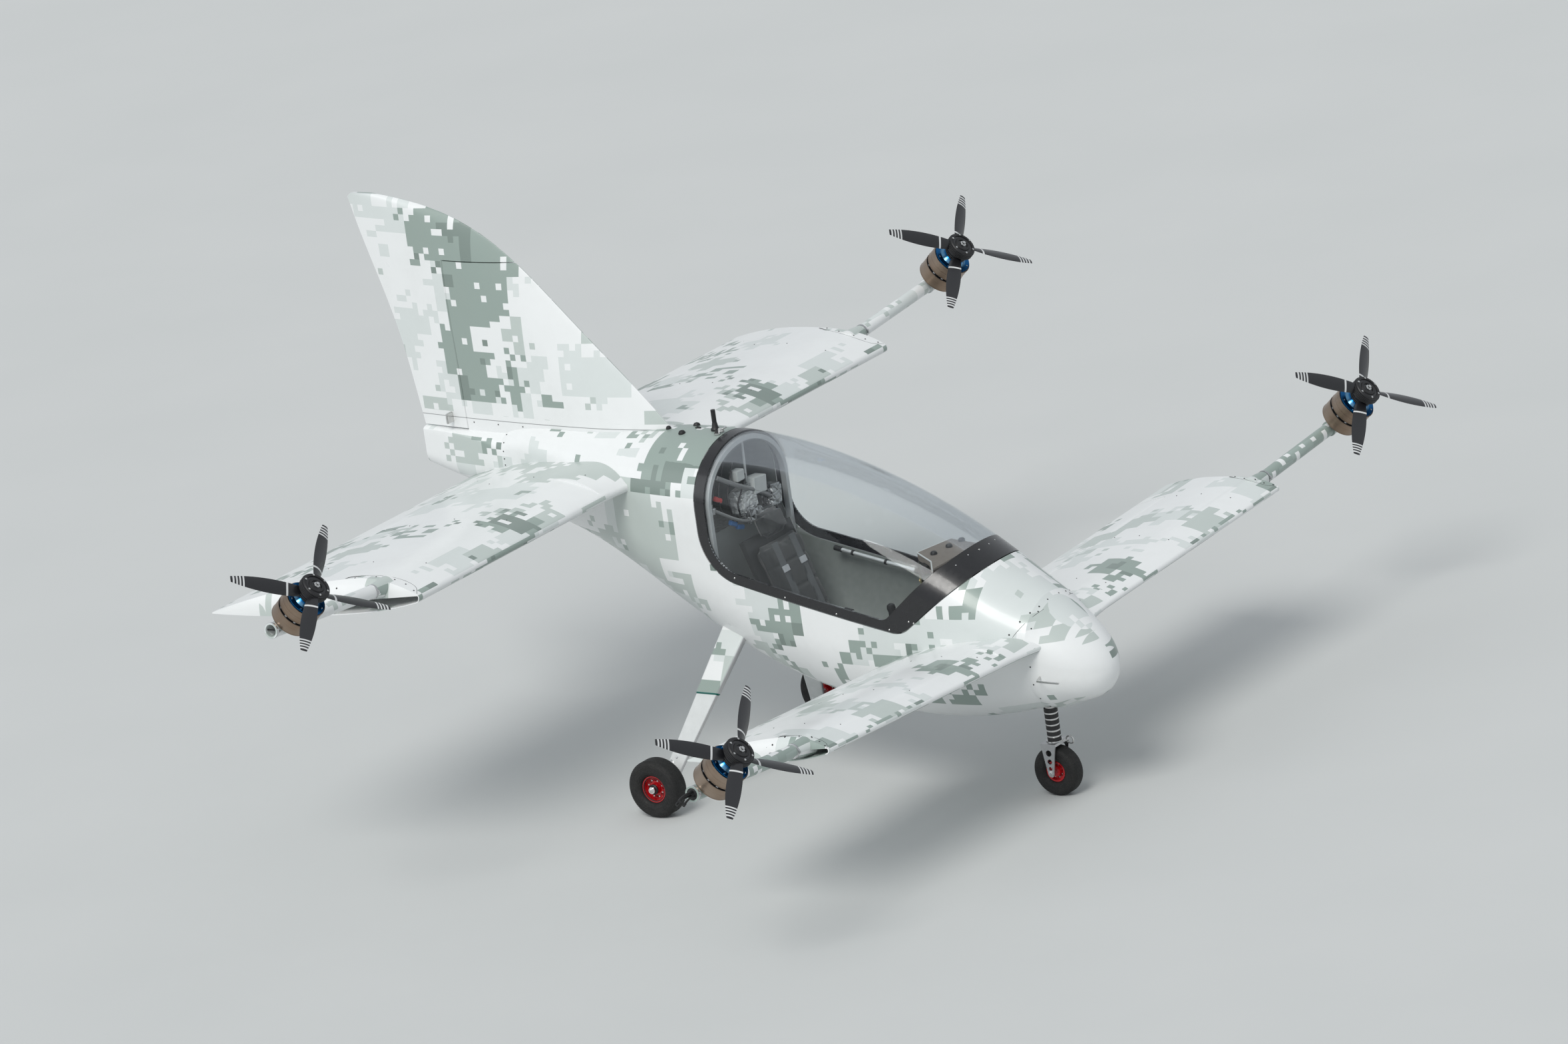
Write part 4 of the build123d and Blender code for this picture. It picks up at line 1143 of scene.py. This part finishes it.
def behind_seat():
    """Foil-wrapped and plain boxes, bars, looms and plugs behind the seat."""
    for name, look, slot, bevel, *boxes in REAR_BOXES:
        bm = draft(name, look, slot)
        for place, size, turn in boxes:
            slab(bm, at(*place), Vector(size) / 1000, turned(turn, "Y"), bevel)
    bars = draft("rear_bars", CASE, "black_plastic")
    for points, radius in REAR_BARS:
        tube(bars, curve([at(*p) for p in points]), radius, 12)
    tube(draft("rear_rod", HOOP, "hoop_grey"), [at(*p) for p in REAR_ROD], 0.006, 10)
    looms = draft("rear_looms", DULL, "black_plastic")
    for points in LOOMS:
        tube(looms, curve([at(*p) for p in points]), 0.0045, 8)


# Seat cushions: most that the cloth may swell in metres, and sewn channels of a pad
PAD_SWELL, PAD_CHANNELS = 0.012, 4


def apply_all(o):
    bpy.context.view_layer.update()
    shape = o.evaluated_get(bpy.context.evaluated_depsgraph_get())
    mesh = bpy.data.meshes.new_from_object(shape)
    o.modifiers.clear()
    o.data = mesh


def swell(o):
    """Cloth pressure from inside, with no point moved further than the cap."""
    start = [v.co.copy() for v in o.data.vertices]
    soft = o.modifiers.new("cloth", "CLOTH")
    soft.settings.use_pressure = True
    soft.settings.uniform_pressure_force = 4
    soft.settings.effector_weights.gravity = 0
    for f in range(1, 21):
        scene.frame_set(f)
    apply_all(o)
    scene.frame_set(1)
    for v, s in zip(o.data.vertices, start):
        move = v.co - s
        if move.length > PAD_SWELL:
            v.co = s + move.normalized() * PAD_SWELL


def sew_channels(o, length):
    """Sewn channels across the pad's face, pressed into the mesh."""
    for v in o.data.vertices:
        place = (v.co.y / length + 0.5) * PAD_CHANNELS
        line = round(place)
        if v.co.z > 0 and 0 < line < PAD_CHANNELS:
            v.co.z -= 0.008 * exp(-((place - line) / 0.06) ** 2)


def pad(name, centre, size, turn, fill):
    """A stuffed pad: a rounded block swollen by cloth pressure, then sewn."""
    bm = bmesh.new()
    slab(bm, Vector((0, 0, 0)), size, None, min(size) * 0.42)
    mesh = bpy.data.meshes.new(name)
    bm.to_mesh(mesh)
    bm.free()
    o = add_object(name, mesh)
    remesh = o.modifiers.new("remesh", "REMESH")
    remesh.mode = "VOXEL"
    remesh.voxel_size = 0.008
    apply_all(o)
    swell(o)
    sew_channels(o, size[1])
    o.data.transform(Matrix.Translation(centre) @ turn.to_4x4())
    finer = o.modifiers.new("smooth", "SUBSURF")
    finer.levels = finer.render_levels = 1
    smooth(o.data)
    o.data.materials.clear()
    o.data.materials.append(SEAT)
    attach(o, "airframe")


# Tilts of the pan and the back in degrees, and the middle of each cushion
PAN, BACK = turned(radians(-8.5), "X"), turned(radians(69.5), "X")
CHEST, LAP = at(0, -432, 915), at(0, -700, 662)
PADS = [
    # name, centre, size, rotation, fill
    ("seat_cushion", LAP, (0.345, 0.32, 0.058), PAN, 0.7),
    ("back_cushion", CHEST, (0.335, 0.50, 0.055), BACK, 0.7),
    ("head_pad", at(0, -330, 1218), (0.20, 0.13, 0.055), BACK, 0.8),
]
BUCKLE = [(0.03, 0), (0.03, 0.010), (0.024, 0.014), (0.012, 0.014), (0.012, 0.018), (0, 0.018)]


def harness():
    """Straps laid over the cushions, with a round buckle and two adjusters."""
    straps = draft("harness_straps", STRAP, "seat_cover")
    metal = draft("harness_buckles", METAL)
    for sign in (-1, 1):
        slab(straps, CHEST + BACK @ Vector((sign * 0.07, 0.0, 0.037)), (0.045, 0.46, 0.005), BACK, 0.001)
        slab(straps, LAP + PAN @ Vector((sign * 0.085, 0.09, 0.037)), (0.16, 0.045, 0.005), PAN, 0.001)
        slab(metal, CHEST + BACK @ Vector((sign * 0.07, 0.10, 0.041)), (0.052, 0.03, 0.005), BACK, 0.0015)
    lathe(metal, LAP + PAN @ Vector((0, 0.09, 0.038)), PAN @ Vector((0, 0, 1)), BUCKLE, 28)


body_fittings()
canopy_screws()
cabin_rails()
console()
arm_tags_and_screens()
controls()
behind_seat()
harness()
for row in PADS:
    pad(*row)
nose_fittings()
for side, sign in SIDES.items():
    wheel_fittings(side, sign)
    for end in ENDS:
        pod, axis = joint(f"{end}_prop_low_{side}_spin")
        tip_fittings(end, side, sign)
        hub_fittings(end, side, pod + axis * HUB_LOW_AT, pod + axis * HUB_TOP_AT, axis)
        can_fittings(end, side, pod, axis)
        boom_fittings(end, side, sign)
for row in DRAFTS:
    piece(*row)


# Floor
def floor():
    """A pale floor that reaches past the picture's edges."""
    mesh = bpy.data.meshes.new("floor")
    s = 90
    mesh.from_pydata([(-s, -s, 0), (s, -s, 0), (s, s, 0), (-s, s, 0)], [], [(0, 1, 2, 3)])
    o = add_object("floor", mesh)
    g = Graph("floor")
    pale = g.mix(g.noise(0.8, 3), (0.56, 0.575, 0.57), (0.60, 0.61, 0.605))
    g.set(Base_Color=pale, Roughness=0.8)
    mesh.materials.append(g.mat)


floor()
